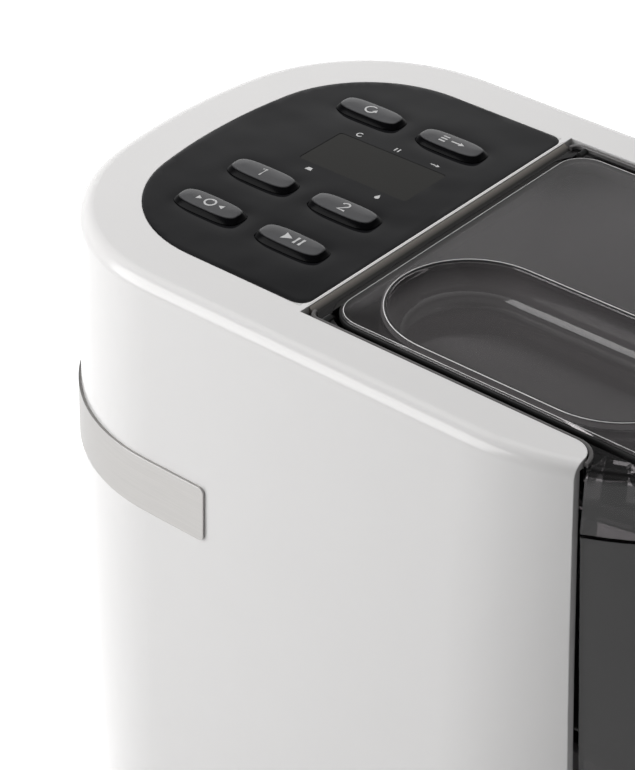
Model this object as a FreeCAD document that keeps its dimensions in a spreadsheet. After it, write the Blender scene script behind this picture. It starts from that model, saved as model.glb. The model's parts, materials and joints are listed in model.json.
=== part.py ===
import FreeCAD
import Part
import Sketcher
import math
import os
import re

# Electric pasta maker. Millimetres, +Z up, origin on the table under the middle of the machine.
# +X is the end where the pasta comes out, -X the rounded end with the control panel.

doc = FreeCAD.newDocument("PastaMaker")
sheet = doc.addObject("Spreadsheet::Sheet", "Sizes")

SIZES = [
    ("deck_height", 300, "table to the white deck"),
    ("half_width", 100, "centre to the white wall, under the deck"),
    ("rear_reach", 163, "origin to the rear wall"),
    ("rear_corner", 73, "plan radius where side and rear meet"),
    ("rear_sweep", 237, "plan radius of the rear wall"),
    ("nose_x", 50, "centre of the round nose"),
    ("side_bulge", 2.5, "how far the walls belly out at half height"),
    ("wall", 3, "moulded wall of the casing"),
    ("deck_edge", 5.5, "round of the deck's outer edge"),
    ("deck_rim", 20, "width of the deck beside the lid"),
    ("rim_drop", 8, "depth of the rim's turned-down lip"),
    ("rim_lip", 2.2, "thickness of the turned-down lip"),
    ("foot_height", 8, "table to the casing's lower edge"),
    ("front_edge", 87, "where the white walls stop, at the deck"),
    ("front_lean", 18, "how much further forward they reach at the foot"),
    ("front_corner", 8, "plan round of the deck's front corners"),
    ("panel_margin", 23, "outer wall to the control panel"),
    ("panel_front", 37, "origin back to the panel's straight edge"),
    ("panel_thick", 1.5, "control panel"),
    ("panel_bed", 2.4, "ledge under the control panel"),
    ("panel_ledge", 9, "width of that ledge"),
    ("bed_corner", 14, "round of the opening in that ledge"),
    ("web", 2.5, "white bridge between panel and lid"),
    ("web_depth", 26, "height of that bridge"),
    ("fit_gap", 0.4, "gap between fixed mouldings"),
    ("band_drop", 97.5, "deck to the steel band's lower edge"),
    ("band_width", 23, "width of the steel band"),
    ("band_thick", 1, "steel band"),
    ("band_gap", 0.05, "adhesive between band and wall"),
    ("band_end", 59, "origin back to the band's ends"),
    ("band_corner", 2, "round of the band's corners"),
    ("shaft_height", 165, "table to the kneading shaft"),
    ("shaft_r", 6, "kneading shaft"),
    ("running_gap", 0.05, "radial gap of shafts in their bushes"),
    ("sweep_gap", 4, "kneading arms to the tub"),
    ("arm_reach", 46, "kneading arms from the shaft axis"),
    ("tub_wall", 2.5, "wall of the kneading tub"),
    ("tub_back", 30, "origin back to the tub's rear face"),
    ("tub_front", 98, "origin to the tub's front face"),
    ("tub_half", 70, "half width of the tub's mouth, inside"),
    ("collar_depth", 26, "deck to the smoked collar's lower edge"),
    ("collar_drop", 2, "collar's top below the deck"),
    ("collar_edge", 4, "round of the collar's shoulder"),
    ("smoked_inset", 1.2, "smoked skin inside the white outline"),
    ("seam", 1.5, "joint between collar and front cover"),
    ("edge_gap", 1.3, "joint between white wall and smoked parts"),
    ("ledge_drop", 9, "seal ledge below the deck"),
    ("ledge_width", 5, "width of the seal ledge"),
    ("lid_half", 74, "half width of the lid"),
    ("lid_back", 27.5, "origin back to the lid's rear edge"),
    ("lid_nose", 91, "radius of the lid's front"),
    ("lid_corner", 12, "plan round of the lid's corners"),
    ("lid_gap", 3, "dark gap round the lid"),
    ("lid_thick", 3, "lid"),
    ("lid_drop", 0.5, "lid's top below the deck"),
    ("well_x_back", 9, "trough's rear centre"),
    ("well_x_front", 65, "trough's front centre"),
    ("well_y", 39, "trough's centre line, towards the near side"),
    ("well_r", 30, "trough's end radius"),
    ("well_depth", 16, "trough"),
    ("well_wall", 2, "trough's wall"),
    ("hinge_x", 26, "origin back to the lid hinge"),
    ("hinge_drop", 2.1, "lid hinge below the deck"),
    ("pin_r", 1.3, "lid hinge pins"),
    ("cover_wall", 3, "front cover"),
    ("cover_low", 9.5, "table to the front cover"),
    ("nozzle_gap", 2.2, "ring nut to the cover's round opening"),
    ("barrel_bore", 20.6, "extrusion barrel, inside"),
    ("barrel_wall", 4.4, "extrusion barrel"),
    ("barrel_end", 152, "origin to the barrel's mouth"),
    ("flight_gap", 0.4, "auger to the barrel"),
    ("auger_core", 9, "auger's core radius"),
    ("auger_pitch", 17, "auger"),
    ("nut_r", 36, "ring nut"),
    ("nut_back", 141, "origin to the ring nut's rear face"),
    ("nut_lip", 7.8, "ring nut's front lip"),
    ("die_thick", 6, "die disc"),
    ("gear_module", 1.5, "all gears"),
    ("output_teeth", 54, "gear on the kneading shaft"),
    ("small_teeth", 14, "small wheel of the compound gear"),
    ("large_teeth", 42, "large wheel of the compound gear"),
    ("pinion_teeth", 12, "pinion on the motor"),
    ("gear_width", 8, "face width"),
    ("motor_r", 34, "motor"),
    ("motor_long", 70, "motor"),
    ("button_long", 30, "buttons, overall"),
    ("button_wide", 13, "buttons"),
    ("button_proud", 2.6, "buttons above the panel"),
    ("button_gap", 0.35, "button to panel"),
    ("button_travel", 0.6, "how far a button is pressed"),
    ("column_rear", 102.6, "origin back to the rear buttons"),
    ("column_front", 64.2, "origin back to the front buttons"),
    ("row_near", -48.5, "tare and start"),
    ("row_middle", -19.3, "the two programme buttons"),
    ("row_far", 44.5, "knead and extrude"),
    ("window_x", 77.5, "origin back to the display's middle"),
    ("window_y", 13.5, "display's middle"),
    ("window_long", 50, "display along X"),
    ("window_wide", 25, "display along Y"),
    ("foot_r", 13, "rubber feet"),
    ("boss_bore", 2.02, "bores of the screw posts"),
    ("inlet_height", 26, "table to the middle of the mains socket"),
    ("inlet_half", 16, "half width of the socket's flange"),
    ("inlet_rise", 12.5, "half height of the socket's flange"),
    ("inlet_rim", 2.5, "flange round the socket's box"),
    ("inlet_wall", 2, "wall of the socket's box"),
    ("inlet_flange", 2.4, "thickness of the socket's flange"),
    ("inlet_deep", 22, "socket's box"),
    ("socket_deep", 15, "hollow of the socket"),
    ("contact_step", 7, "between the socket's contacts"),
    ("contact_long", 8, "socket's contacts"),
    ("cut_over", 1, "how far a cut runs past a face"),
    ("press_gap", 0.2, "gap between parts that are clamped together"),
    ("post_r", 5, "screw posts inside the casing"),
    ("post_long", 30, "screw posts"),
    ("post_rear", 112, "origin back to the rear screw posts"),
    ("post_front", 40, "origin to the front screw posts"),
    ("post_inset_rear", 11.5, "side wall to the rear screw posts"),
    ("post_inset", 7.5, "side wall to the front screw posts"),
    ("screw_r", 2, "base screws"),
    ("screw_long", 14, "base screws above the base"),
    ("screw_head_r", 4, "heads of the base screws"),
    ("screw_head", 1.8, "height of the heads"),
    ("screw_hole", 2.2, "clearance holes for the base screws"),
    ("foot_rear", 105, "origin back to the rear feet"),
    ("foot_front", 85, "origin to the front feet"),
    ("foot_side", 62, "centre line to the feet"),
    ("foot_bevel", 1.2, "bevel of the feet's lower edge"),
    ("rib", 2, "ribs on the base"),
    ("rib_height", 5, "ribs on the base"),
    ("rib_half", 50, "half length of the ribs"),
    ("vent_start", 116, "origin back to the first vent"),
    ("vent_step", 6, "between vents"),
    ("vent_wide", 3, "vents"),
    ("vent_half", 35, "half length of the vents"),
    ("board_drop", 10, "panel bed to the control board"),
    ("board_thick", 1.6, "circuit boards"),
    ("board_post_r", 3, "pillars under the control board"),
    ("board_rear", 112, "origin back to the rear pillar"),
    ("board_front", 52, "origin back to the front pillars"),
    ("board_side", 34, "centre line to the front pillars"),
    ("tray_drop", 9.6, "control board to the tray's underside"),
    ("tray_thick", 2, "tray's floor"),
    ("tray_post_r", 2.2, "tray's posts"),
    ("tray_rear", 131.5, "origin back to the tray's rear posts"),
    ("tray_rear_side", 28, "centre line to the tray's rear posts"),
    ("tray_front", 43, "origin back to the tray's front posts"),
    ("tray_front_side", 64, "centre line to the tray's front posts"),
    ("window_round", 1.5, "corners of the display window"),
    ("window_gap", 0.1, "display window to the panel"),
    ("window_flange", 2, "ledge round the display window"),
    ("module_gap", 1.1, "display module to the window"),
    ("stop_flange", 1, "stop flange round a button"),
    ("stop_thick", 1.2, "stop flange"),
    ("stop_gap", 0.3, "stop flange to the panel"),
    ("stem_r", 2.5, "buttons' stems"),
    ("stem_gap", 0.15, "stem to its switch"),
    ("switch_long", 6, "button switches"),
    ("switch_tall", 3.5, "button switches"),
    ("plunger_r", 1.7, "plungers of the switches"),
    ("plunger_long", 1.5, "plungers"),
    ("seal_thick", 2.2, "lid seal"),
    ("seal_gap", 0.3, "lid seal to its ledge"),
    ("hinge_pad", 1.4, "how far the hinge pins enter the chamber"),
    ("lid_round", 1, "round of the lid's edges"),
    ("shaft_pad", 4.5, "shaft seal's thickness"),
    ("frame_thick", 3, "inner frame"),
    ("frame_half", 68, "half width of the inner frame"),
    ("frame_round", 10, "corners of the inner frame"),
    ("frame_drop", 10, "collar to the inner frame's top"),
    ("frame_foot", 22, "foot of the inner frame"),
    ("gusset_side", 44, "centre line to the frame's gussets"),
    ("gusset_high", 70, "top of the gussets"),
    ("spigot_r", 18, "spigot that carries the tub's rear"),
    ("spigot_bore", 12, "hole through the spigot"),
    ("cradle_x", 54, "origin to the cradle"),
    ("cradle_thick", 4, "cradle"),
    ("cradle_half", 46, "half width of the cradle"),
    ("cradle_drop", 20, "shaft to the cradle's top"),
    ("cradle_foot", 24, "foot of the cradle"),
    ("box_rear", 73, "origin back to the gearbox"),
    ("box_front", 45, "origin back to the gearbox's open side"),
    ("box_wall", 3, "gearbox side walls"),
    ("box_floor", 4, "gearbox rear wall"),
    ("box_half", 48, "half width of the gearbox"),
    ("box_round", 24, "round of the gearbox's corners"),
    ("box_low", 28, "motor shaft to the gearbox's lower side"),
    ("box_high", 6, "output gear to the gearbox's upper side"),
    ("output_plane", 54, "origin back to the output gear"),
    ("layshaft_plane", 66, "origin back to the pinion"),
    ("layshaft_r", 4, "layshaft"),
    ("motor_shaft_r", 4, "motor shaft"),
    ("bush_wall", 4, "bushes"),
    ("hub_step", 2.5, "collar between the compound gear's wheels"),
    ("motor_boss_r", 14, "boss on the motor's front"),
    ("motor_boss", 3, "boss on the motor's front"),
    ("motor_bevel", 3, "bevel of the motor's ends"),
    ("tail_long", 10, "motor shaft behind the motor"),
    ("fan_hub_r", 8, "fan's hub"),
    ("fan_hub", 7, "fan's hub"),
    ("fan_r", 27, "fan's blades"),
    ("fan_wide", 6, "fan's blades, along the shaft"),
    ("blade_thick", 1.6, "fan's blades"),
    ("tongue", 7, "square end of the kneading shaft"),
    ("tongue_long", 14, "square end"),
    ("hub_wall", 3.5, "paddle's hub"),
    ("arm_r", 4.5, "kneading arms"),
    ("arm_bevel", 2, "tips of the kneading arms"),
    ("first_arm", 14, "origin back to the first kneading arm"),
    ("arm_step", 28, "between kneading arms"),
    ("flight_root", 5, "auger flight at the core"),
    ("flight_tip", 1.8, "auger flight at its edge"),
    ("flange_wide", 9, "barrel's flange"),
    ("flange_thick", 4, "barrel's flange"),
    ("lug_half", 4, "half width of the barrel's lugs"),
    ("lug_tall", 2.2, "barrel's lugs"),
    ("lug_long", 4, "barrel's lugs, along the barrel"),
    ("lug_back", 7, "barrel's mouth to its lugs"),
    ("pasta_r", 2.2, "pasta holes"),
    ("pasta_ring", 11, "radius of the ring of pasta holes"),
    ("nut_bevel", 2.5, "bevel of the ring nut"),
    ("nut_floor", 1.6, "ring nut behind the lugs"),
    ("grip_r", 5, "finger scoops of the ring nut"),
    ("grip_out", 3.2, "ring nut's edge to a scoop's centre"),
    ("power_rear", 120, "origin back to the power board"),
    ("power_front", 50, "origin back to the power board's front"),
    ("power_near", 42, "centre line to the power board"),
    ("power_far", 82, "centre line to its outer edge"),
    ("power_lift", 8, "base to the power board"),
    ("cell_half", 17, "half length of the load cells"),
    ("cell_side", 5, "half width and height of the load cells"),
    ("lid_switch_wide", 20, "lid switch"),
    ("lid_switch_tall", 9.5, "lid switch"),
    ("lid_switch_deep", 4.6, "lid switch"),
    ("lid_switch_side", 30, "centre line to the lid switch"),
]

for row, (alias, value, note) in enumerate(SIZES, start=1):
    sheet.set("A%d" % row, note)
    sheet.set("B%d" % row, str(value))
    sheet.setAlias("B%d" % row, alias)
doc.recompute()

ALIASES = {alias for alias, value, note in SIZES}
WORD = re.compile(r"[a-z][a-z_]*")


def linked(expression):
    """The expression with each size named in the sheet."""
    def full(match):
        word = match.group(0)
        return "Sizes." + word if word in ALIASES else word
    return WORD.sub(full, str(expression))


def size(expression):
    """The value of an expression of sizes."""
    return float(sheet.evalExpression(str(expression)))


# Sketches and features

def new_body(label):
    return doc.addObject("PartDesign::Body", label)


def sketch_on(body, role, at="0"):
    """An empty sketch on one of the body's own planes, moved along the plane's normal."""
    plane = [item for item in body.Origin.OriginFeatures if item.Role == role][0]
    sketch = body.newObject("Sketcher::SketchObject", body.Name + "_sketch")
    sketch.AttachmentSupport = (plane, [""])
    sketch.MapMode = "FlatFace"
    sketch.setExpression("AttachmentOffset.Base.z", linked(at))
    return sketch


def bind(sketch, kind, *where, by):
    """A dimension that follows an expression of sizes."""
    index = sketch.addConstraint(Sketcher.Constraint(kind, *where, size(by)))
    sketch.setExpression("Constraints[%d]" % index, linked(by))


def pin_point(sketch, geo, pos, across, up):
    """Fixes a point by its two distances from the sketch's origin."""
    bind(sketch, "DistanceX", -1, 1, geo, pos, by=across)
    bind(sketch, "DistanceY", -1, 1, geo, pos, by=up)


def vector(across, up):
    return FreeCAD.Vector(size(across), size(up), 0)


def draw_circle(sketch, across, up, radius):
    circle = Part.Circle(vector(across, up), FreeCAD.Vector(0, 0, 1), size(radius))
    geo = sketch.addGeometry(circle, False)
    pin_point(sketch, geo, 3, across, up)
    bind(sketch, "Radius", geo, by=radius)


def draw_polygon(sketch, corners):
    first = sketch.GeometryCount
    count = len(corners)
    for index in range(count):
        line = Part.LineSegment(vector(*corners[index]), vector(*corners[(index + 1) % count]))
        sketch.addGeometry(line, False)
    for index in range(count):
        after = first + (index + 1) % count
        sketch.addConstraint(Sketcher.Constraint("Coincident", first + index, 2, after, 1))
    for index, (across, up) in enumerate(corners):
        pin_point(sketch, first + index, 1, across, up)


def draw_box(sketch, left, right, low, high, radius=None):
    """A rectangle, with round corners where a radius is given."""
    if radius is None:
        draw_polygon(sketch, [(left, low), (right, low), (right, high), (left, high)])
        return
    corners = [(left, low), (right, low), (right, high), (left, high)]
    inward = [(1, 1), (-1, 1), (-1, -1), (1, -1)]
    r = size(radius)
    centres = [FreeCAD.Vector(size(x) + sx * r, size(y) + sy * r, 0)
               for (x, y), (sx, sy) in zip(corners, inward)]
    first = sketch.GeometryCount
    for index in range(4):
        start = centres[index] + FreeCAD.Vector(*((0, -r), (r, 0), (0, r), (-r, 0))[index], 0)
        end = centres[(index + 1) % 4] + FreeCAD.Vector(*((0, -r), (r, 0), (0, r), (-r, 0))[index], 0)
        sketch.addGeometry(Part.LineSegment(start, end), False)
    for index in range(4):
        middle = Part.Circle(centres[index], FreeCAD.Vector(0, 0, 1), r)
        turn = (math.pi + index * math.pi / 2, 1.5 * math.pi + index * math.pi / 2)
        sketch.addGeometry(Part.ArcOfCircle(middle, *turn), False)
    for index in range(4):
        before = first + (index + 3) % 4
        arc = first + 4 + index
        sketch.addConstraint(Sketcher.Constraint("Tangent", before, 2, arc, 1))
        sketch.addConstraint(Sketcher.Constraint("Tangent", arc, 2, first + index, 1))
        straight = "Horizontal" if index % 2 == 0 else "Vertical"
        sketch.addConstraint(Sketcher.Constraint(straight, first + index))
        if index:
            sketch.addConstraint(Sketcher.Constraint("Equal", first + 4, arc))
    bind(sketch, "Radius", first + 4, by=radius)
    bind(sketch, "DistanceY", -1, 1, first, 1, by=low)
    bind(sketch, "DistanceX", -1, 1, first + 1, 1, by=right)
    bind(sketch, "DistanceY", -1, 1, first + 2, 1, by=high)
    bind(sketch, "DistanceX", -1, 1, first + 3, 1, by=left)


def extrude(body, sketch, length, cut=False, flip=False, both=False):
    """A pad or a pocket of the sketch, whose volume has to change the body's."""
    before = body.Shape.Volume if body.Tip else 0.0
    kind = "PartDesign::Pocket" if cut else "PartDesign::Pad"
    feature = body.newObject(kind, body.Name + ("_cut" if cut else "_pad"))
    feature.Profile = sketch
    feature.setExpression("Length", linked(length))
    feature.Reversed = flip
    if both:
        feature.SideType = "Symmetric"
    doc.recompute()
    change = body.Shape.Volume - before
    if abs(change) < 1e-6 or (change > 0) == cut:
        raise RuntimeError("%s changes nothing" % feature.Name)
    return feature


def disc(body, role, at, across, up, radius, length, **how):
    sketch = sketch_on(body, role, at)
    draw_circle(sketch, across, up, radius)
    return extrude(body, sketch, length, **how)


def ring(body, role, at, across, up, outer, inner, length, **how):
    sketch = sketch_on(body, role, at)
    draw_circle(sketch, across, up, outer)
    draw_circle(sketch, across, up, inner)
    return extrude(body, sketch, length, **how)


def block(body, role, at, left, right, low, high, length, radius=None, **how):
    sketch = sketch_on(body, role, at)
    draw_box(sketch, left, right, low, high, radius)
    return extrude(body, sketch, length, **how)


def repeat_round_x(body, feature, height, count):
    """Repeats a feature round an axis along X at this height."""
    centre = sketch_on(body, "YZ_Plane")
    centre.setExpression("AttachmentOffset.Base.y", linked(height))
    draw_circle(centre, "0", "0", "1")
    before = body.Shape.Volume
    turned = body.newObject("PartDesign::PolarPattern", body.Name + "_pattern")
    turned.Originals = [feature]
    turned.Axis = (centre, ["N_Axis"])
    turned.Occurrences = count
    body.Tip = turned
    doc.recompute()
    if abs(body.Shape.Volume - before) < 1e-6:
        raise RuntimeError("%s repeats nothing" % turned.Name)


def edges_where(shape, test):
    """Names of the edges whose middle point passes the test."""
    names = []
    for index, edge in enumerate(shape.Edges, start=1):
        middle = edge.valueAt((edge.FirstParameter + edge.LastParameter) / 2)
        if test(middle, edge):
            names.append("Edge%d" % index)
    return names


def round_edges(body, radius, test):
    base = body.Tip
    fillet = body.newObject("PartDesign::Fillet", body.Name + "_round")
    fillet.Base = (base, edges_where(base.Shape, test))
    fillet.setExpression("Radius", linked(radius))
    doc.recompute()


def bevel_edges(body, length, test):
    base = body.Tip
    chamfer = body.newObject("PartDesign::Chamfer", body.Name + "_bevel")
    chamfer.Base = (base, edges_where(base.Shape, test))
    chamfer.setExpression("Size", linked(length))
    doc.recompute()


# Plan outlines

def rear_curve(inset):
    """Centres and radii of the rear's arcs for an outline that lies this far inside the wall."""
    end_r = size("rear_sweep")
    corner_r = size("rear_corner")
    end_x = end_r - size("rear_reach")
    corner_y = size("half_width") - corner_r
    corner_x = end_x - math.sqrt((end_r - corner_r) ** 2 - corner_y ** 2)
    turn = math.atan2(corner_y, end_x - corner_x)
    return end_x, end_r - inset, corner_x, corner_y, corner_r - inset, turn


def draw_rear(sketch, inset, side_ends):
    """Rear wall outline: side, corner, rear, corner, side. side_ends are the two X where it stops."""
    away = size(inset)
    end_x, end_r, corner_x, corner_y, corner_r, turn = rear_curve(away)
    up = FreeCAD.Vector(0, 0, 1)
    half = size("half_width") - away
    first = sketch.GeometryCount
    far = FreeCAD.Vector(size(side_ends[0]), half, 0)
    sketch.addGeometry(Part.LineSegment(far, FreeCAD.Vector(corner_x, half, 0)), False)
    far_corner = Part.Circle(FreeCAD.Vector(corner_x, corner_y, 0), up, corner_r)
    sketch.addGeometry(Part.ArcOfCircle(far_corner, math.pi / 2, math.pi - turn), False)
    rear = Part.Circle(FreeCAD.Vector(end_x, 0, 0), up, end_r)
    sketch.addGeometry(Part.ArcOfCircle(rear, math.pi - turn, math.pi + turn), False)
    near_corner = Part.Circle(FreeCAD.Vector(corner_x, -corner_y, 0), up, corner_r)
    sketch.addGeometry(Part.ArcOfCircle(near_corner, math.pi + turn, 1.5 * math.pi), False)
    near = FreeCAD.Vector(size(side_ends[1]), -half, 0)
    sketch.addGeometry(Part.LineSegment(FreeCAD.Vector(corner_x, -half, 0), near), False)
    for step in range(4):
        joint = Sketcher.Constraint("Tangent", first + step, 2, first + step + 1, 1)
        sketch.addConstraint(joint)
    sketch.addConstraint(Sketcher.Constraint("Horizontal", first))
    sketch.addConstraint(Sketcher.Constraint("Horizontal", first + 4))
    sketch.addConstraint(Sketcher.Constraint("Equal", first + 1, first + 3))
    sketch.addConstraint(Sketcher.Constraint("PointOnObject", first + 2, 3, -1))
    bind(sketch, "Radius", first + 1, by="rear_corner - (%s)" % inset)
    bind(sketch, "Radius", first + 2, by="rear_sweep - (%s)" % inset)
    bind(sketch, "DistanceX", -1, 1, first + 2, 3, by="rear_sweep - rear_reach")
    pin_point(sketch, first, 1, side_ends[0], "half_width - (%s)" % inset)
    pin_point(sketch, first + 4, 2, side_ends[1], "-half_width + (%s)" % inset)
    return first


def draw_panel_outline(sketch, inset, front):
    """The D-shaped outline of what lies behind the lid, closed by a straight edge at front."""
    first = draw_rear(sketch, inset, (front, front))
    half = "half_width - (%s)" % inset
    line = Part.LineSegment(vector(front, "-(%s)" % half), vector(front, half))
    geo = sketch.addGeometry(line, False)
    sketch.addConstraint(Sketcher.Constraint("Coincident", first + 4, 2, geo, 1))
    sketch.addConstraint(Sketcher.Constraint("Coincident", geo, 2, first, 1))


def draw_whole_outline(sketch, inset):
    """The whole plan of the machine: rear wall, sides and half-round nose."""
    first = draw_rear(sketch, inset, ("nose_x", "nose_x"))
    half = "half_width - (%s)" % inset
    nose = Part.Circle(vector("nose_x", "0"), FreeCAD.Vector(0, 0, 1), size(half))
    geo = sketch.addGeometry(Part.ArcOfCircle(nose, -math.pi / 2, math.pi / 2), False)
    sketch.addConstraint(Sketcher.Constraint("Tangent", first + 4, 2, geo, 1))
    sketch.addConstraint(Sketcher.Constraint("Coincident", geo, 2, first, 1))


def draw_nose(sketch, radius, back):
    """The part of the nose circle that lies in front of a straight line across the machine."""
    r = size(radius)
    reach = size(back) - size("nose_x")
    angle = math.acos(reach / r)
    circle = Part.Circle(vector("nose_x", "0"), FreeCAD.Vector(0, 0, 1), r)
    arc = sketch.addGeometry(Part.ArcOfCircle(circle, -angle, angle), False)
    half = r * math.sin(angle)
    top = FreeCAD.Vector(size(back), half, 0)
    low = FreeCAD.Vector(size(back), -half, 0)
    line = sketch.addGeometry(Part.LineSegment(top, low), False)
    sketch.addConstraint(Sketcher.Constraint("Coincident", arc, 2, line, 1))
    sketch.addConstraint(Sketcher.Constraint("Coincident", line, 2, arc, 1))
    sketch.addConstraint(Sketcher.Constraint("Vertical", line))
    sketch.addConstraint(Sketcher.Constraint("PointOnObject", arc, 3, -1))
    bind(sketch, "DistanceX", -1, 1, arc, 3, by="nose_x")
    bind(sketch, "Radius", arc, by=radius)
    bind(sketch, "DistanceX", -1, 1, line, 1, by=back)


def draw_lid_outline(sketch, back, half, nose, radius):
    """Lid-shaped outline: rounded rear corners, straight sides, round front."""
    r = size(radius)
    b, w, n = size(back), size(half), size(nose)
    centre = size("nose_x")
    meet = centre + math.sqrt(n * n - w * w)
    angle = math.acos((meet - centre) / n)
    up = FreeCAD.Vector(0, 0, 1)
    first = sketch.GeometryCount
    sketch.addGeometry(Part.LineSegment(FreeCAD.Vector(b + r, -w, 0), FreeCAD.Vector(meet, -w, 0)), False)
    front = Part.Circle(FreeCAD.Vector(centre, 0, 0), up, n)
    sketch.addGeometry(Part.ArcOfCircle(front, -angle, angle), False)
    sketch.addGeometry(Part.LineSegment(FreeCAD.Vector(meet, w, 0), FreeCAD.Vector(b + r, w, 0)), False)
    far = Part.Circle(FreeCAD.Vector(b + r, w - r, 0), up, r)
    sketch.addGeometry(Part.ArcOfCircle(far, math.pi / 2, math.pi), False)
    sketch.addGeometry(Part.LineSegment(FreeCAD.Vector(b, w - r, 0), FreeCAD.Vector(b, r - w, 0)), False)
    near = Part.Circle(FreeCAD.Vector(b + r, r - w, 0), up, r)
    sketch.addGeometry(Part.ArcOfCircle(near, math.pi, 1.5 * math.pi), False)
    for a, z in ((first, first + 1), (first + 1, first + 2)):
        sketch.addConstraint(Sketcher.Constraint("Coincident", a, 2, z, 1))
    for a, z in ((2, 3), (3, 4), (4, 5), (5, 0)):
        sketch.addConstraint(Sketcher.Constraint("Tangent", first + a, 2, first + z, 1))
    sketch.addConstraint(Sketcher.Constraint("Horizontal", first))
    sketch.addConstraint(Sketcher.Constraint("Horizontal", first + 2))
    sketch.addConstraint(Sketcher.Constraint("Vertical", first + 4))
    sketch.addConstraint(Sketcher.Constraint("Equal", first + 3, first + 5))
    sketch.addConstraint(Sketcher.Constraint("PointOnObject", first + 1, 3, -1))
    bind(sketch, "DistanceX", -1, 1, first + 1, 3, by="nose_x")
    bind(sketch, "Radius", first + 1, by=nose)
    bind(sketch, "Radius", first + 3, by=radius)
    bind(sketch, "DistanceY", -1, 1, first, 1, by="-(%s)" % half)
    bind(sketch, "DistanceY", -1, 1, first + 2, 1, by=half)
    bind(sketch, "DistanceX", -1, 1, first + 4, 1, by=back)


# White casing: one wall section swept round the plan, with the deck, panel bed and bridge

def wall_path(body, inset, side_end, with_nose):
    """Half of the wall's plan: from the middle of the rear along the near side."""
    away = size(inset)
    end_x, end_r, corner_x, corner_y, corner_r, turn = rear_curve(away)
    up = FreeCAD.Vector(0, 0, 1)
    half = size("half_width") - away
    sketch = sketch_on(body, "XY_Plane")
    rear = Part.Circle(FreeCAD.Vector(end_x, 0, 0), up, end_r)
    sketch.addGeometry(Part.ArcOfCircle(rear, math.pi, math.pi + turn), False)
    corner = Part.Circle(FreeCAD.Vector(corner_x, -corner_y, 0), up, corner_r)
    sketch.addGeometry(Part.ArcOfCircle(corner, math.pi + turn, 1.5 * math.pi), False)
    end = FreeCAD.Vector(size(side_end), -half, 0)
    sketch.addGeometry(Part.LineSegment(FreeCAD.Vector(corner_x, -half, 0), end), False)
    sketch.addConstraint(Sketcher.Constraint("Tangent", 0, 2, 1, 1))
    sketch.addConstraint(Sketcher.Constraint("Tangent", 1, 2, 2, 1))
    sketch.addConstraint(Sketcher.Constraint("Horizontal", 2))
    sketch.addConstraint(Sketcher.Constraint("PointOnObject", 0, 3, -1))
    sketch.addConstraint(Sketcher.Constraint("PointOnObject", 0, 1, -1))
    bind(sketch, "Radius", 1, by="rear_corner - (%s)" % inset)
    bind(sketch, "Radius", 0, by="rear_sweep - (%s)" % inset)
    bind(sketch, "DistanceX", -1, 1, 0, 3, by="rear_sweep - rear_reach")
    pin_point(sketch, 2, 2, side_end, "-half_width + (%s)" % inset)
    if with_nose:
        nose = Part.Circle(vector("nose_x", "0"), up, half)
        stretch = size("front_edge + front_lean + 10 - nose_x") / half
        sketch.addGeometry(Part.ArcOfCircle(nose, 1.5 * math.pi, 1.5 * math.pi + math.asin(stretch)), False)
        sketch.addConstraint(Sketcher.Constraint("Tangent", 2, 2, 3, 1))
        bind(sketch, "Radius", 3, by="half_width - (%s)" % inset)
        bind(sketch, "DistanceX", -1, 1, 3, 2, by="front_edge + front_lean + 10")
    return sketch


TOUCH = 0.1
SLOT_END = "0.05"
BASE_TOP = "(foot_height + wall)"
COLLAR_LOW = "(deck_height - collar_depth)"
BAND_LOW = "(deck_height - band_drop)"
SCREW_SPOTS = [("-post_rear", "half_width - post_inset_rear"), ("-post_rear", "post_inset_rear - half_width"),
               ("post_front", "half_width - post_inset"), ("post_front", "post_inset - half_width")]
BULGE_HEIGHT = "(deck_height - deck_edge - foot_height)"
BULGE_RADIUS = "(%s^2 / (8 * side_bulge) + side_bulge / 2)" % BULGE_HEIGHT
WALL_X = "-rear_reach"
UNDERSIDE = "(deck_height - wall)"


def bulge_centre(low, high, radius):
    """Centre of the arc bowed towards -X through two points."""
    middle = (low + high) / 2
    chord = high - low
    across = FreeCAD.Vector(chord.y, -chord.x, 0).normalize()
    return middle + across * math.sqrt(radius ** 2 - (chord.Length / 2) ** 2)


def arc_on(sketch, centre, radius, from_point, to_point):
    """Adds the arc that runs anticlockwise from one point to the other."""
    start = math.atan2(from_point.y - centre.y, from_point.x - centre.x)
    end = math.atan2(to_point.y - centre.y, to_point.x - centre.x)
    if end < start:
        end += 2 * math.pi
    circle = Part.Circle(centre, FreeCAD.Vector(0, 0, 1), radius)
    return sketch.addGeometry(Part.ArcOfCircle(circle, start, end), False)


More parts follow.
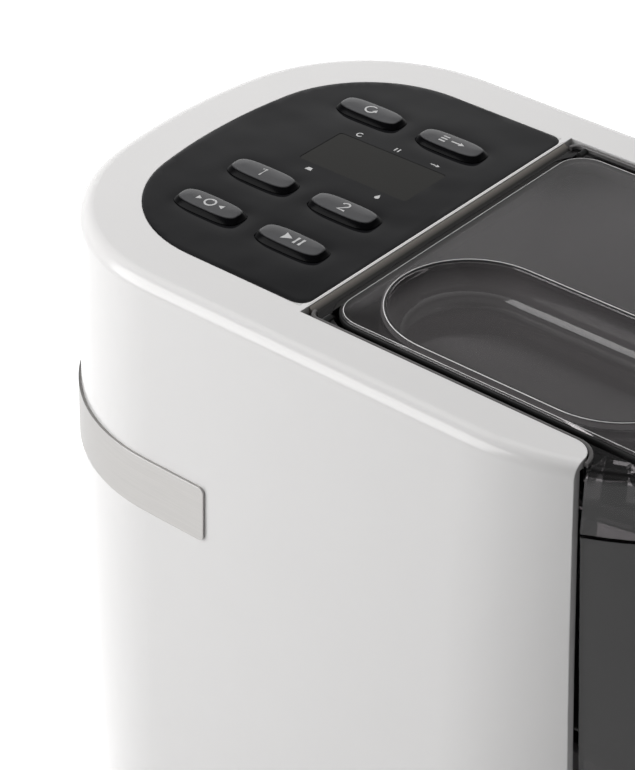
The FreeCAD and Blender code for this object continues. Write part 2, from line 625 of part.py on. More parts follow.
def casing_section(body):
    """The wall cut through at the rear: bellied side, round deck edge, deck and turned-down lip."""
    sketch = sketch_on(body, "XZ_Plane")
    inner_x = "-rear_reach + wall"
    rim_x = "-rear_reach + deck_rim"
    lip_x = "-rear_reach + deck_rim - rim_lip"
    shoulder = "deck_height - deck_edge"
    lip_z = "deck_height - rim_drop"
    foot = vector(WALL_X, "foot_height")
    top = vector(WALL_X, shoulder)
    inner_foot = vector(inner_x, "foot_height")
    inner_top = vector(inner_x, UNDERSIDE)
    belly_r = size(BULGE_RADIUS)
    outer_centre = bulge_centre(foot, top, belly_r)
    inner_centre = bulge_centre(inner_foot, inner_top, belly_r)
    outer = arc_on(sketch, outer_centre, belly_r, top, foot)
    edge_centre = vector("-rear_reach + deck_edge", shoulder)
    edge = arc_on(sketch, edge_centre, size("deck_edge"), vector("-rear_reach + deck_edge", "deck_height"), top)
    corners = [("-rear_reach + deck_edge", "deck_height"), (rim_x, "deck_height"), (rim_x, lip_z),
               (lip_x, lip_z), (lip_x, UNDERSIDE), (inner_x, UNDERSIDE)]
    lines = []
    for start, end in zip(corners, corners[1:]):
        lines.append(sketch.addGeometry(Part.LineSegment(vector(*start), vector(*end)), False))
    inner = arc_on(sketch, inner_centre, belly_r, inner_top, inner_foot)
    bottom = sketch.addGeometry(Part.LineSegment(inner_foot, foot), False)
    meet = [(outer, 1, edge, 2), (edge, 1, lines[0], 1), (lines[-1], 2, inner, 1), (inner, 2, bottom, 1),
            (bottom, 2, outer, 2)]
    meet += [(a, 2, b, 1) for a, b in zip(lines, lines[1:])]
    for joint in meet:
        sketch.addConstraint(Sketcher.Constraint("Coincident", *joint))
    bind(sketch, "Radius", outer, by=BULGE_RADIUS)
    bind(sketch, "Radius", inner, by=BULGE_RADIUS)
    bind(sketch, "Radius", edge, by="deck_edge")
    pin_point(sketch, bottom, 2, WALL_X, "foot_height")
    pin_point(sketch, edge, 2, WALL_X, shoulder)
    pin_point(sketch, inner, 2, inner_x, "foot_height")
    for line, (across, up) in zip(lines, corners):
        pin_point(sketch, line, 1, across, up)
    pin_point(sketch, lines[-1], 2, *corners[-1])
    return sketch


def sweep_both_sides(body, section, path):
    """Sweeps the section along the near half of the plan and mirrors it to the far side."""
    pipe = body.newObject("PartDesign::AdditivePipe", body.Name + "_sweep")
    pipe.Profile = section
    pipe.Spine = (path, ["Edge%d" % (index + 1) for index in range(path.GeometryCount)])
    doc.recompute()
    half_volume = body.Shape.Volume
    mirror = body.newObject("PartDesign::Mirrored", body.Name + "_mirror")
    mirror.Originals = [pipe]
    plane = [item for item in body.Origin.OriginFeatures if item.Role == "XZ_Plane"][0]
    mirror.MirrorPlane = (plane, [""])
    body.Tip = mirror
    doc.recompute()
    if abs(body.Shape.Volume / half_volume - 2) > 0.01:
        raise RuntimeError("%s is not mirrored" % body.Name)


def draw_rake(sketch, gap):
    """Side view of all that lies in front of the raked front edge, gap ahead of it."""
    lean = "front_lean / (deck_height - foot_height)"
    high = "(deck_height + 5)"
    low = "(foot_height - 5)"
    top_x = "front_edge + (%s) - 5 * %s" % (gap, lean)
    low_x = "front_edge + (%s) + (deck_height - %s) * %s" % (gap, low, lean)
    far = "nose_x + half_width + 20"
    draw_polygon(sketch, [(top_x, high), (low_x, low), (far, low), (far, high)])


def draw_front_corner(sketch, side):
    """The square corner that the deck's round front corner leaves out; side is 1 far, -1 near."""
    edge_y = "%d * (half_width - deck_rim)" % side
    out_y = "%d * (half_width - deck_rim + front_corner)" % side
    in_y = "%d * (half_width - deck_rim - 1)" % side
    start_x = "front_edge - front_corner"
    corners = [(start_x, edge_y), (start_x, in_y), ("front_edge + 1", in_y), ("front_edge + 1", out_y),
               ("front_edge", out_y)]
    first = sketch.GeometryCount
    for start, end in zip(corners, corners[1:]):
        sketch.addGeometry(Part.LineSegment(vector(*start), vector(*end)), False)
    centre = vector(start_x, out_y)
    ends = [vector(*corners[-1]), vector(*corners[0])]
    if side < 0:
        ends.reverse()
    arc = arc_on(sketch, centre, size("front_corner"), ends[1], ends[0])
    near, far = (2, 1) if side < 0 else (1, 2)
    for step in range(3):
        sketch.addConstraint(Sketcher.Constraint("Coincident", first + step, 2, first + step + 1, 1))
    sketch.addConstraint(Sketcher.Constraint("Coincident", first + 3, 2, arc, far))
    sketch.addConstraint(Sketcher.Constraint("Coincident", arc, near, first, 1))
    for step, corner in enumerate(corners[:-1]):
        pin_point(sketch, first + step, 1, *corner)
    pin_point(sketch, first + 3, 2, *corners[-1])
    bind(sketch, "Radius", arc, by="front_corner")


def make_casing():
    body = new_body("casing")
    section = casing_section(body)
    path = wall_path(body, "0", "nose_x", True)
    sweep_both_sides(body, section, path)
    opening = "half_width - deck_rim"
    block(body, "XY_Plane", "deck_height + 1", "nose_x - 1", "front_edge + front_lean", "-(%s)" % opening,
          opening, "rim_drop + 2", cut=True)
    for low, high in ((opening, "%s + rim_lip" % opening), ("-(%s + rim_lip)" % opening, "-(%s)" % opening)):
        block(body, "XY_Plane", "deck_height - rim_drop", "nose_x - 2", "front_edge + 2", low, high,
              "rim_drop - 0.5")
    bed = sketch_on(body, "XY_Plane", "deck_height - panel_thick - panel_bed")
    draw_panel_outline(bed, "deck_rim - 2", "web - panel_front + fit_gap")
    extrude(body, bed, "panel_thick + panel_bed")
    block(body, "XY_Plane", "deck_height - web_depth", "fit_gap - panel_front", "web - panel_front + fit_gap",
          "deck_rim - half_width - 1", "half_width - deck_rim + 1", "web_depth")
    seat = sketch_on(body, "XY_Plane", "deck_height")
    draw_panel_outline(seat, "panel_margin - fit_gap / 2", "fit_gap / 2 - panel_front")
    extrude(body, seat, "panel_thick", cut=True)
    block(body, "XY_Plane", "deck_height - panel_thick", "panel_margin + panel_ledge - rear_reach + 3",
          "-panel_front - panel_ledge", "panel_margin + panel_ledge - half_width",
          "half_width - panel_margin - panel_ledge", "panel_bed + 1", radius="bed_corner", cut=True)
    for across, up in SCREW_SPOTS:
        ring(body, "XY_Plane", "%s + press_gap" % BASE_TOP, across, up, "post_r", "boss_bore", "post_long")
    block(body, "YZ_Plane", "-rear_reach - side_bulge - 2 * cut_over", "-inlet_half - fit_gap",
          "inlet_half + fit_gap", "inlet_height - inlet_rise - fit_gap", "inlet_height + inlet_rise + fit_gap",
          "4 * wall", radius="wall + fit_gap", cut=True, flip=True)
    rake = sketch_on(body, "XZ_Plane")
    draw_rake(rake, "0")
    extrude(body, rake, "4 * half_width", cut=True, both=True)
    corners = sketch_on(body, "XY_Plane", "deck_height + 1")
    for side in (1, -1):
        draw_front_corner(corners, side)
    extrude(body, corners, "rim_drop + 2", cut=True)
    return body


# Base, feet and trim

VENTS = 7
FOOT_SPOTS = [(across, up) for across in ("-foot_rear", "foot_front") for up in ("foot_side", "-foot_side")]


def make_base_plate():
    body = new_body("base_plate")
    plate = sketch_on(body, "XY_Plane", "foot_height")
    draw_whole_outline(plate, "smoked_inset + cover_wall + fit_gap")
    extrude(body, plate, "wall")
    for across in ("45 - foot_rear", "post_front - 30", "foot_front - 15"):
        block(body, "XY_Plane", BASE_TOP, "%s - rib / 2" % across, "%s + rib / 2" % across, "-rib_half",
              "rib_half", "rib_height")
    slots = sketch_on(body, "XY_Plane", "foot_height")
    for step in range(VENTS):
        start = "%d * vent_step - vent_start" % step
        draw_box(slots, start, "%s + vent_wide" % start, "-vent_half", "vent_half",
                 "vent_wide / 2 - %s" % SLOT_END)
    extrude(body, slots, "wall + rib_height + cut_over", cut=True, flip=True)
    holes = sketch_on(body, "XY_Plane", "foot_height")
    for across, up in SCREW_SPOTS:
        draw_circle(holes, across, up, "screw_hole")
    extrude(body, holes, "wall + rib_height + cut_over", cut=True, flip=True)
    return body


def make_rubber_feet():
    body = new_body("rubber_feet")
    for across, up in FOOT_SPOTS:
        disc(body, "XY_Plane", "0", across, up, "foot_r", "foot_height")
    bevel_edges(body, "foot_bevel", lambda middle, edge: middle.z < TOUCH and edge.Closed)
    return body


def make_steel_band():
    """Strip of sheet steel that follows the bellied wall."""
    body = new_body("steel_band")
    sketch = sketch_on(body, "XZ_Plane")
    belly = "sqrt((%s + (%%s))^2 - (%%s - (foot_height + deck_height - deck_edge) / 2)^2)" % BULGE_RADIUS
    axis = "%s - rear_reach - side_bulge" % BULGE_RADIUS
    band_high = "%s + band_width" % BAND_LOW
    outer = "band_gap + band_thick"
    corners = [("%s - %s" % (axis, belly % (off, height)), height)
               for off, height in (("band_gap", BAND_LOW), ("band_gap", band_high), (outer, band_high),
                                   (outer, BAND_LOW))]
    draw_polygon(sketch, corners)
    path = wall_path(body, "0", "-band_end", False)
    sweep_both_sides(body, sketch, path)
    end = size("-band_end") - TOUCH
    round_edges(body, "band_corner", lambda m, edge: m.x > end and abs(edge.BoundBox.ZLength) < TOUCH and
                abs(edge.Length - size("band_thick")) < TOUCH)
    return body


# Control panel, display and buttons

PANEL_LOW = "(deck_height - panel_thick)"
BOARD_TOP = "(%s - panel_bed - board_drop)" % PANEL_LOW
STEM_LOW = "(%s + switch_tall + plunger_long + stem_gap + button_travel)" % BOARD_TOP
BUTTONS = [("tare_button", "-column_rear", "row_near"), ("start_button", "-column_front", "row_near"),
           ("programme_a_button", "-column_rear", "row_middle"),
           ("programme_b_button", "-column_front", "row_middle"),
           ("knead_button", "-column_rear", "row_far"), ("extrude_button", "-column_front", "row_far")]


def button_outline(sketch, across, up, grow):
    """A rounded slot that is grow bigger than the button on every side."""
    long = "(button_long / 2 + (%s))" % grow
    wide = "(button_wide / 2 + (%s))" % grow
    draw_box(sketch, "%s - %s" % (across, long), "%s + %s" % (across, long), "%s - %s" % (up, wide),
             "%s + %s" % (up, wide), "%s - %s" % (wide, SLOT_END))


def window_box(sketch, grow, radius=None):
    long = "(window_long / 2 + (%s))" % grow
    wide = "(window_wide / 2 + (%s))" % grow
    draw_box(sketch, "-window_x - %s" % long, "-window_x + %s" % long, "window_y - %s" % wide,
             "window_y + %s" % wide, radius)


def make_control_panel():
    body = new_body("control_panel")
    plate = sketch_on(body, "XY_Plane", PANEL_LOW)
    draw_panel_outline(plate, "panel_margin", "-panel_front")
    extrude(body, plate, "panel_thick")
    holes = sketch_on(body, "XY_Plane", "deck_height")
    for name, across, up in BUTTONS:
        button_outline(holes, across, up, "button_gap")
    window_box(holes, "window_gap", "window_round + window_gap")
    extrude(body, holes, "panel_thick + cut_over", cut=True)
    return body


def make_display_window():
    body = new_body("display_window")
    pane = sketch_on(body, "XY_Plane", PANEL_LOW)
    window_box(pane, "0", "window_round")
    extrude(body, pane, "panel_thick - window_gap / 2")
    flange = sketch_on(body, "XY_Plane", "%s - window_flange / 2" % PANEL_LOW)
    window_box(flange, "window_flange")
    extrude(body, flange, "window_flange / 2")
    return body


def make_display_module():
    body = new_body("display_module")
    glass = sketch_on(body, "XY_Plane", BOARD_TOP)
    window_box(glass, "window_flange / 4")
    extrude(body, glass, "%s - window_flange / 2 - %s - module_gap" % (PANEL_LOW, BOARD_TOP))
    return body


def make_button(name, across, up):
    """Cap with a domed top, a stop flange under the panel and a stem down to its switch."""
    body = new_body(name)
    skirt = "(button_travel + stop_gap)"
    cap = sketch_on(body, "XY_Plane", "%s - %s" % (PANEL_LOW, skirt))
    button_outline(cap, across, up, "0")
    extrude(body, cap, "panel_thick + %s + button_proud" % skirt)
    top = size("deck_height + button_proud") - TOUCH
    round_edges(body, "button_proud - stop_gap", lambda m, edge: m.z > top)
    flange = sketch_on(body, "XY_Plane", "%s - stop_gap - stop_thick" % PANEL_LOW)
    button_outline(flange, across, up, "stop_flange")
    extrude(body, flange, "stop_thick")
    disc(body, "XY_Plane", STEM_LOW, across, up, "stem_r",
         "%s - stop_gap - %s" % (PANEL_LOW, STEM_LOW))
    return body


def make_control_board():
    body = new_body("control_board")
    plate = sketch_on(body, "XY_Plane", "%s - board_thick" % BOARD_TOP)
    draw_panel_outline(plate, "panel_margin + panel_ledge + 2 * fit_gap + cut_over",
                       "-panel_front - panel_ledge - cut_over")
    extrude(body, plate, "board_thick")
    lift = "(tray_drop - tray_thick - board_thick)"
    low = "%s - board_thick - %s" % (BOARD_TOP, lift)
    for across, up in (("-board_rear", "0"), ("-board_front", "-board_side"), ("-board_front", "board_side")):
        disc(body, "XY_Plane", low, across, up, "board_post_r", lift)
    return body


def make_button_switches():
    body = new_body("button_switches")
    half = "switch_long / 2"
    for name, across, up in BUTTONS:
        block(body, "XY_Plane", BOARD_TOP, "%s - %s" % (across, half), "%s + %s" % (across, half),
              "%s - %s" % (up, half), "%s + %s" % (up, half), "switch_tall")
        disc(body, "XY_Plane", "%s + switch_tall" % BOARD_TOP, across, up, "plunger_r", "plunger_long")
    return body


def make_board_tray():
    """Tray screwed under the deck that carries the control board."""
    body = new_body("board_tray")
    plate = sketch_on(body, "XY_Plane", "%s - tray_drop" % BOARD_TOP)
    draw_panel_outline(plate, "panel_margin + panel_ledge - 10 * fit_gap", "-panel_front - 10 * fit_gap")
    extrude(body, plate, "tray_thick")
    posts = sketch_on(body, "XY_Plane", "%s - tray_drop + tray_thick" % BOARD_TOP)
    for across, up in (("-tray_rear", "tray_rear_side"), ("-tray_rear", "-tray_rear_side"),
                       ("-tray_front", "tray_front_side"), ("-tray_front", "-tray_front_side")):
        draw_circle(posts, across, up, "tray_post_r")
    extrude(body, posts, "tray_drop - tray_thick + board_drop")
    return body


# Kneading chamber, lid and front cover

COLLAR_TOP = "(deck_height - collar_drop)"
LEDGE_Z = "(deck_height - ledge_drop)"
COLLAR_HALF = "(half_width - deck_rim - fit_gap)"
SMOKED_R = "(half_width - smoked_inset)"
WELL_HALF = "(lid_half + lid_gap)"
WELL_NOSE = "(lid_nose + lid_gap - 0.5)"
TUB_R = "(arm_reach + sweep_gap)"
LID_TOP = "(deck_height - lid_drop)"
LID_LOW = "(deck_height - lid_drop - lid_thick)"
FRONT_LINE = "(front_edge + edge_gap + 2)"
TUB_TOP = "(%s + tub_wall)" % COLLAR_LOW


def draw_tub_section(sketch, grow, top):
    """Round-bottomed section whose sides lean out to the tub's mouth."""
    r = size("%s + (%s)" % (TUB_R, grow))
    z = size("shaft_height")
    half = size("tub_half + (%s)" % grow)
    high = size(top)
    rise = high - z
    reach = math.hypot(half, rise)
    angle = math.atan2(rise, half) - math.acos(r / reach)
    up = FreeCAD.Vector(0, 0, 1)
    bottom = Part.Circle(FreeCAD.Vector(0, z, 0), up, r)
    arc = sketch.addGeometry(Part.ArcOfCircle(bottom, math.pi - angle, 2 * math.pi + angle), False)
    right = FreeCAD.Vector(r * math.cos(angle), z + r * math.sin(angle), 0)
    left = FreeCAD.Vector(-right.x, right.y, 0)
    a = sketch.addGeometry(Part.LineSegment(right, FreeCAD.Vector(half, high, 0)), False)
    far = FreeCAD.Vector(-half, high, 0)
    b = sketch.addGeometry(Part.LineSegment(FreeCAD.Vector(half, high, 0), far), False)
    c = sketch.addGeometry(Part.LineSegment(far, left), False)
    sketch.addConstraint(Sketcher.Constraint("Tangent", arc, 2, a, 1))
    sketch.addConstraint(Sketcher.Constraint("Coincident", a, 2, b, 1))
    sketch.addConstraint(Sketcher.Constraint("Coincident", b, 2, c, 1))
    sketch.addConstraint(Sketcher.Constraint("Tangent", c, 2, arc, 1))
    sketch.addConstraint(Sketcher.Constraint("PointOnObject", arc, 3, -2))
    bind(sketch, "DistanceY", -1, 1, arc, 3, by="shaft_height")
    bind(sketch, "Radius", arc, by="%s + (%s)" % (TUB_R, grow))
    pin_point(sketch, a, 2, "tub_half + (%s)" % grow, top)
    pin_point(sketch, b, 2, "-tub_half - (%s)" % grow, top)


def make_chamber():
    body = new_body("chamber")
    tub = sketch_on(body, "YZ_Plane", "-tub_back")
    draw_tub_section(tub, "tub_wall", TUB_TOP)
    extrude(body, tub, "tub_back + tub_front")
    block(body, "XY_Plane", COLLAR_LOW, "fit_gap - panel_front + web + 2", FRONT_LINE,
          "-%s" % COLLAR_HALF, COLLAR_HALF, "%s - %s" % (COLLAR_TOP, COLLAR_LOW))
    nose = sketch_on(body, "XY_Plane", COLLAR_LOW)
    draw_nose(nose, SMOKED_R, "%s - 0.5" % FRONT_LINE)
    extrude(body, nose, "%s - %s" % (COLLAR_TOP, COLLAR_LOW))
    top = size(COLLAR_TOP)
    rim = size("half_width - smoked_inset - 0.5")
    centre = size("nose_x")
    round_edges(body, "collar_edge", lambda m, edge: m.z > top - 0.01 and
                math.hypot(m.x - centre, m.y) > rim and m.x > size(FRONT_LINE))
    well = sketch_on(body, "XY_Plane", COLLAR_TOP)
    draw_lid_outline(well, "-lid_back - lid_gap", WELL_HALF, WELL_NOSE, "lid_corner + lid_gap")
    extrude(body, well, "%s - %s" % (COLLAR_TOP, LEDGE_Z), cut=True)
    inside = sketch_on(body, "XY_Plane", "%s + cut_over" % LEDGE_Z)
    draw_lid_outline(inside, "-lid_back + 3.5", "%s - ledge_width" % WELL_HALF,
                     "%s - ledge_width" % WELL_NOSE, "lid_corner")
    extrude(body, inside, "%s + cut_over - %s" % (LEDGE_Z, TUB_TOP), cut=True)
    hollow = sketch_on(body, "YZ_Plane", "tub_front - tub_wall")
    draw_tub_section(hollow, "0", "%s + 0.5" % TUB_TOP)
    extrude(body, hollow, "tub_front + tub_back - 2 * tub_wall", cut=True)
    disc(body, "YZ_Plane", "-tub_back - cut_over", "0", "shaft_height", "shaft_r + shaft_pad", "tub_wall + 2",
         cut=True, flip=True)
    barrel_hole = "barrel_bore + barrel_wall + window_gap"
    disc(body, "YZ_Plane", "tub_front + cut_over", "0", "shaft_height", barrel_hole,
         "tub_wall + 2", cut=True)
    pins = sketch_on(body, "XZ_Plane")
    draw_circle(pins, "-hinge_x", "deck_height - hinge_drop", "pin_r + running_gap")
    extrude(body, pins, "3 * half_width", cut=True, both=True)
    return body


def draw_trough(sketch, grow):
    """Racetrack with its long axis along X."""
    r = size("well_r + (%s)" % grow)
    back = vector("well_x_back", "-well_y")
    front = vector("well_x_front", "-well_y")
    up = FreeCAD.Vector(0, 0, 1)
    off = FreeCAD.Vector(0, r, 0)
    low = sketch.addGeometry(Part.LineSegment(back - off, front - off), False)
    right = sketch.addGeometry(Part.ArcOfCircle(Part.Circle(front, up, r), -math.pi / 2, math.pi / 2), False)
    high = sketch.addGeometry(Part.LineSegment(front + off, back + off), False)
    left = sketch.addGeometry(Part.ArcOfCircle(Part.Circle(back, up, r), math.pi / 2, 1.5 * math.pi), False)
    for a, z in ((low, right), (right, high), (high, left), (left, low)):
        sketch.addConstraint(Sketcher.Constraint("Tangent", a, 2, z, 1))
    sketch.addConstraint(Sketcher.Constraint("Horizontal", low))
    pin_point(sketch, left, 3, "well_x_back", "-well_y")
    bind(sketch, "DistanceX", -1, 1, right, 3, by="well_x_front")
    bind(sketch, "Radius", left, by="well_r + (%s)" % grow)


def make_lid():
    body = new_body("lid")
    plate = sketch_on(body, "XY_Plane", LID_LOW)
    draw_lid_outline(plate, "-lid_back", "lid_half", "lid_nose", "lid_corner")
    extrude(body, plate, "lid_thick")
    outer = sketch_on(body, "XY_Plane", LID_LOW)
    draw_trough(outer, "well_wall")
    extrude(body, outer, "well_depth + well_wall - lid_thick", flip=True)
    inner = sketch_on(body, "XY_Plane", LID_TOP)
    draw_trough(inner, "0")
    extrude(body, inner, "well_depth", cut=True)
    top = size(LID_TOP)
    round_edges(body, "lid_round", lambda m, edge: abs(m.z - top) < 0.01)
    reach = "%s - lid_half + lid_corner + hinge_pad" % WELL_HALF
    for end in (WELL_HALF + " + hinge_pad", "-lid_half + lid_corner"):
        sketch = sketch_on(body, "XZ_Plane", "-(%s)" % end)
        draw_circle(sketch, "-hinge_x", "deck_height - hinge_drop", "pin_r")
        extrude(body, sketch, reach)
    return body


def make_lid_seal():
    """Square ring clipped under the lid that closes on the chamber's ledge."""
    body = new_body("lid_seal")
    outer = sketch_on(body, "XY_Plane", "%s + seal_gap" % LEDGE_Z)
    draw_lid_outline(outer, "-lid_back + 0.5", "lid_half - seal_gap", "lid_nose - 0.5", "lid_corner")
    extrude(body, outer, "%s - %s - seal_gap" % (LID_LOW, LEDGE_Z))
    hole = sketch_on(body, "XY_Plane", LID_LOW)
    draw_lid_outline(hole, "-lid_back + 0.5 + seal_thick", "lid_half - seal_gap - 2",
                     "lid_nose - 0.8 - seal_thick", "lid_corner - 2")
    extrude(body, hole, "ledge_drop", cut=True)
    return body


def make_front_cover():
    body = new_body("front_cover")
    outer = sketch_on(body, "XY_Plane", "cover_low")
    draw_nose(outer, SMOKED_R, "front_edge + edge_gap")
    extrude(body, outer, "%s - seam - cover_low" % COLLAR_LOW)
    rake = sketch_on(body, "XZ_Plane")
    lean = "front_lean / (deck_height - foot_height)"
    high = "deck_height + 5"
    low = "foot_height - 5"
    top_x = "front_edge + edge_gap - 5 * %s" % lean
    low_x = "front_edge + edge_gap + (%s - (%s) - 5) * %s" % (high, low, lean)
    back = "front_edge - 20"
    draw_polygon(rake, [(back, high), (back, low), (low_x, low), (top_x, high)])
    extrude(body, rake, "4 * half_width", cut=True, both=True)
    inner = sketch_on(body, "XY_Plane", "deck_height")
    draw_nose(inner, "%s - cover_wall" % SMOKED_R, "front_edge - 15")
    extrude(body, inner, "deck_height", cut=True)
    disc(body, "YZ_Plane", "nose_x + half_width + 5", "0", "shaft_height", "nut_r + nozzle_gap", "60", cut=True)
    return body


# Frame and gearbox

FRAME_X = "-panel_front - 4"
GEARBOX_LONG = "(%s + box_front)" % FRAME_X
LAY_HEIGHT = "(shaft_height - gear_module * (output_teeth + small_teeth) / 2)"
MOTOR_HEIGHT = "(%s - gear_module * (large_teeth + pinion_teeth) / 2)" % LAY_HEIGHT
BOX_LOW = "(%s - box_low)" % MOTOR_HEIGHT
BOX_HIGH = "(shaft_height + gear_module * output_teeth / 2 + box_high)"


def make_inner_frame():
    """Upright bulkhead between the drive and the tub, with a foot on the base."""
    body = new_body("inner_frame")
    block(body, "YZ_Plane", FRAME_X, "-frame_half", "frame_half", BASE_TOP, "%s - frame_drop" % COLLAR_LOW,
          "frame_thick", radius="frame_round")
    block(body, "XY_Plane", BASE_TOP, FRAME_X, "%s + frame_foot" % FRAME_X, "-frame_half + 8", "frame_half - 8",
          "frame_thick")
    ring(body, "YZ_Plane", "%s + frame_thick" % FRAME_X, "0", "shaft_height", "spigot_r", "spigot_bore",
         "-tub_back - (%s) - frame_thick - press_gap" % FRAME_X)
    disc(body, "YZ_Plane", "%s - cut_over" % FRAME_X, "0", "shaft_height", "spigot_bore",
         "frame_thick + 2 * cut_over", cut=True, flip=True)
    for side in ("-gusset_side", "gusset_side"):
        block(body, "XZ_Plane", "-(%s + frame_thick / 2)" % side, "%s + frame_thick" % FRAME_X,
              "%s + frame_foot - 2" % FRAME_X, "%s + frame_thick" % BASE_TOP, "gusset_high", "frame_thick")
    return body


def make_chamber_cradle():
    """Saddle on the base that carries the front of the tub."""
    body = new_body("chamber_cradle")
    block(body, "YZ_Plane", "cradle_x", "-cradle_half", "cradle_half", BASE_TOP, "shaft_height - cradle_drop",
          "cradle_thick")
    block(body, "XY_Plane", BASE_TOP, "cradle_x - 10", "cradle_x - 10 + cradle_foot", "-cradle_half",
          "cradle_half", "frame_thick")
    disc(body, "YZ_Plane", "cradle_x - cradle_thick", "0", "shaft_height", "%s + tub_wall + press_gap" % TUB_R,
         "3 * cradle_thick", cut=True, flip=True)
    return body


def make_gearbox_housing():
    body = new_body("gearbox_housing")
    block(body, "YZ_Plane", "-box_rear", "-box_half", "box_half", BOX_LOW, BOX_HIGH, "box_rear - box_front",
          radius="box_round")
    inner = "(box_half - box_wall)"
    block(body, "YZ_Plane", "-box_front", "-%s" % inner, inner, "%s + box_wall" % BOX_LOW,
          "%s - box_wall" % BOX_HIGH, "box_rear - box_front - box_floor", radius="box_round - box_wall",
          cut=True)
    bores = sketch_on(body, "YZ_Plane", "-box_rear - cut_over")
    draw_circle(bores, "0", "shaft_height", "shaft_r + bush_wall")
    draw_circle(bores, "0", LAY_HEIGHT, "layshaft_r + bush_wall")
    draw_circle(bores, "0", MOTOR_HEIGHT, "motor_shaft_r + box_wall")
    extrude(body, bores, "2 * box_floor", cut=True, flip=True)
    return body


def make_gearbox_cover():
    body = new_body("gearbox_cover")
    block(body, "YZ_Plane", "-box_front", "-box_half", "box_half", BOX_LOW, BOX_HIGH, GEARBOX_LONG,
          radius="box_round")
    bores = sketch_on(body, "YZ_Plane", "-box_front - cut_over")
    draw_circle(bores, "0", "shaft_height", "shaft_r + bush_wall")
    draw_circle(bores, "0", LAY_HEIGHT, "layshaft_r + bush_wall")
    extrude(body, bores, "%s + 2 * cut_over" % GEARBOX_LONG, cut=True, flip=True)
    return body


def make_bushes():
    """Plain bearings pressed into the gearbox's two walls."""
    body = new_body("shaft_bushes")
    for start, long in (("-box_rear", "box_floor"), ("-box_front", GEARBOX_LONG)):
        for height, shaft in (("shaft_height", "shaft_r"), (LAY_HEIGHT, "layshaft_r")):
            ring(body, "YZ_Plane", start, "0", height, "%s + bush_wall" % shaft, "%s + running_gap" % shaft,
                 long)
    return body


# Gears

PRESSURE_ANGLE = math.radians(20)
TIP = 0.95
ROOT = 1.25
BACKLASH = 0.12
FLANK_STEPS = 3


def involute(angle):
    return math.tan(angle) - angle


def gear_face(module, teeth, bore, phase, x):
    """Flat involute gear outline, with a tooth centred on the phase angle and a round bore."""
    pitch_r = module * teeth / 2
    base_r = pitch_r * math.cos(PRESSURE_ANGLE)
    tip_r = pitch_r + TIP * module
    root_r = pitch_r - ROOT * module
    half = math.pi / (2 * teeth) - BACKLASH * module / (2 * pitch_r) + involute(PRESSURE_ANGLE)
    start_r = max(base_r, root_r)
    radii = [start_r + (tip_r - start_r) * step / FLANK_STEPS for step in range(FLANK_STEPS + 1)]
    flank = [(r, half - involute(math.acos(min(1.0, base_r / r)))) for r in radii]
    if root_r < base_r:
        flank.insert(0, (root_r, flank[0][1]))
    points = []
    for tooth in range(teeth):
        middle = phase + 2 * math.pi * tooth / teeth
        side = [(r, middle - a) for r, a in flank] + [(r, middle + a) for r, a in reversed(flank)]
        points += [FreeCAD.Vector(x, r * math.cos(a), r * math.sin(a)) for r, a in side]
    outline = Part.makePolygon(points + [points[0]])
    hole = Part.Wire([Part.makeCircle(bore, FreeCAD.Vector(x, 0, 0), FreeCAD.Vector(1, 0, 0))])
    return Part.Face(outline).cut(Part.Face(hole))


def gear_solid(teeth, bore, start, phase):
    face = gear_face(size("gear_module"), int(size(teeth)), bore, phase, size(start))
    return face.extrude(FreeCAD.Vector(size("gear_width"), 0, 0))


def shape_node(label, shape, height):
    feature = doc.addObject("Part::Feature", label)
    feature.Shape = shape
    feature.Placement = FreeCAD.Placement(FreeCAD.Vector(0, 0, height), FreeCAD.Rotation())
    return feature


def make_output_gear():
    """Gear on the kneading shaft; it has a tooth pointing straight down."""
    solid = gear_solid("output_teeth", size("shaft_r"), "-output_plane", -math.pi / 2)
    return shape_node("output_gear", solid, size("shaft_height"))


def make_compound_gear():
    """Layshaft in one piece with its small and large wheels."""
    along = FreeCAD.Vector(1, 0, 0)
    bore = size("layshaft_r")
    small_gap = math.pi / size("small_teeth")
    small = gear_solid("small_teeth", bore, "-output_plane", math.pi / 2 + small_gap)
    large = gear_solid("large_teeth", bore, "-layshaft_plane", -math.pi / 2)
    start = size("-box_rear + 0.5")
    shaft = Part.makeCylinder(bore, size("%s - 0.5" % FRAME_X) - start, FreeCAD.Vector(start, 0, 0), along)
    step_start = size("gear_width - layshaft_plane")
    step_long = size("-output_plane") - step_start
    step = Part.makeCylinder(bore + size("hub_step"), step_long, FreeCAD.Vector(step_start, 0, 0), along)
    return shape_node("compound_gear", shaft.multiFuse([small, large, step]), size(LAY_HEIGHT))


def make_motor_pinion():
    gap = math.pi / size("pinion_teeth")
    solid = gear_solid("pinion_teeth", size("motor_shaft_r"), "-layshaft_plane", math.pi / 2 + gap)
    return shape_node("motor_pinion", solid, size(MOTOR_HEIGHT))


# Motor

MOTOR_FRONT = "(-box_rear - motor_boss)"
MOTOR_BACK = "(%s - motor_long)" % MOTOR_FRONT
BLADES = 7


def make_motor_body():
    body = new_body("motor_body")
    disc(body, "YZ_Plane", MOTOR_BACK, "0", MOTOR_HEIGHT, "motor_r", "motor_long")
    disc(body, "YZ_Plane", MOTOR_FRONT, "0", MOTOR_HEIGHT, "motor_boss_r", "motor_boss")
    rim = size("motor_r") - TOUCH
    bevel_edges(body, "motor_bevel", lambda m, edge: edge.Closed and edge.Curve.Radius > rim)
    disc(body, "YZ_Plane", "%s - cut_over" % MOTOR_BACK, "0", MOTOR_HEIGHT, "motor_shaft_r + running_gap",
         "motor_long + motor_boss + 2 * cut_over", cut=True, flip=True)
    return body


def make_motor_shaft():
    body = new_body("motor_shaft")
    start = "(%s - tail_long)" % MOTOR_BACK
    long = "gear_width - layshaft_plane - %s" % start
    disc(body, "YZ_Plane", start, "0", MOTOR_HEIGHT, "motor_shaft_r", long)
    return body


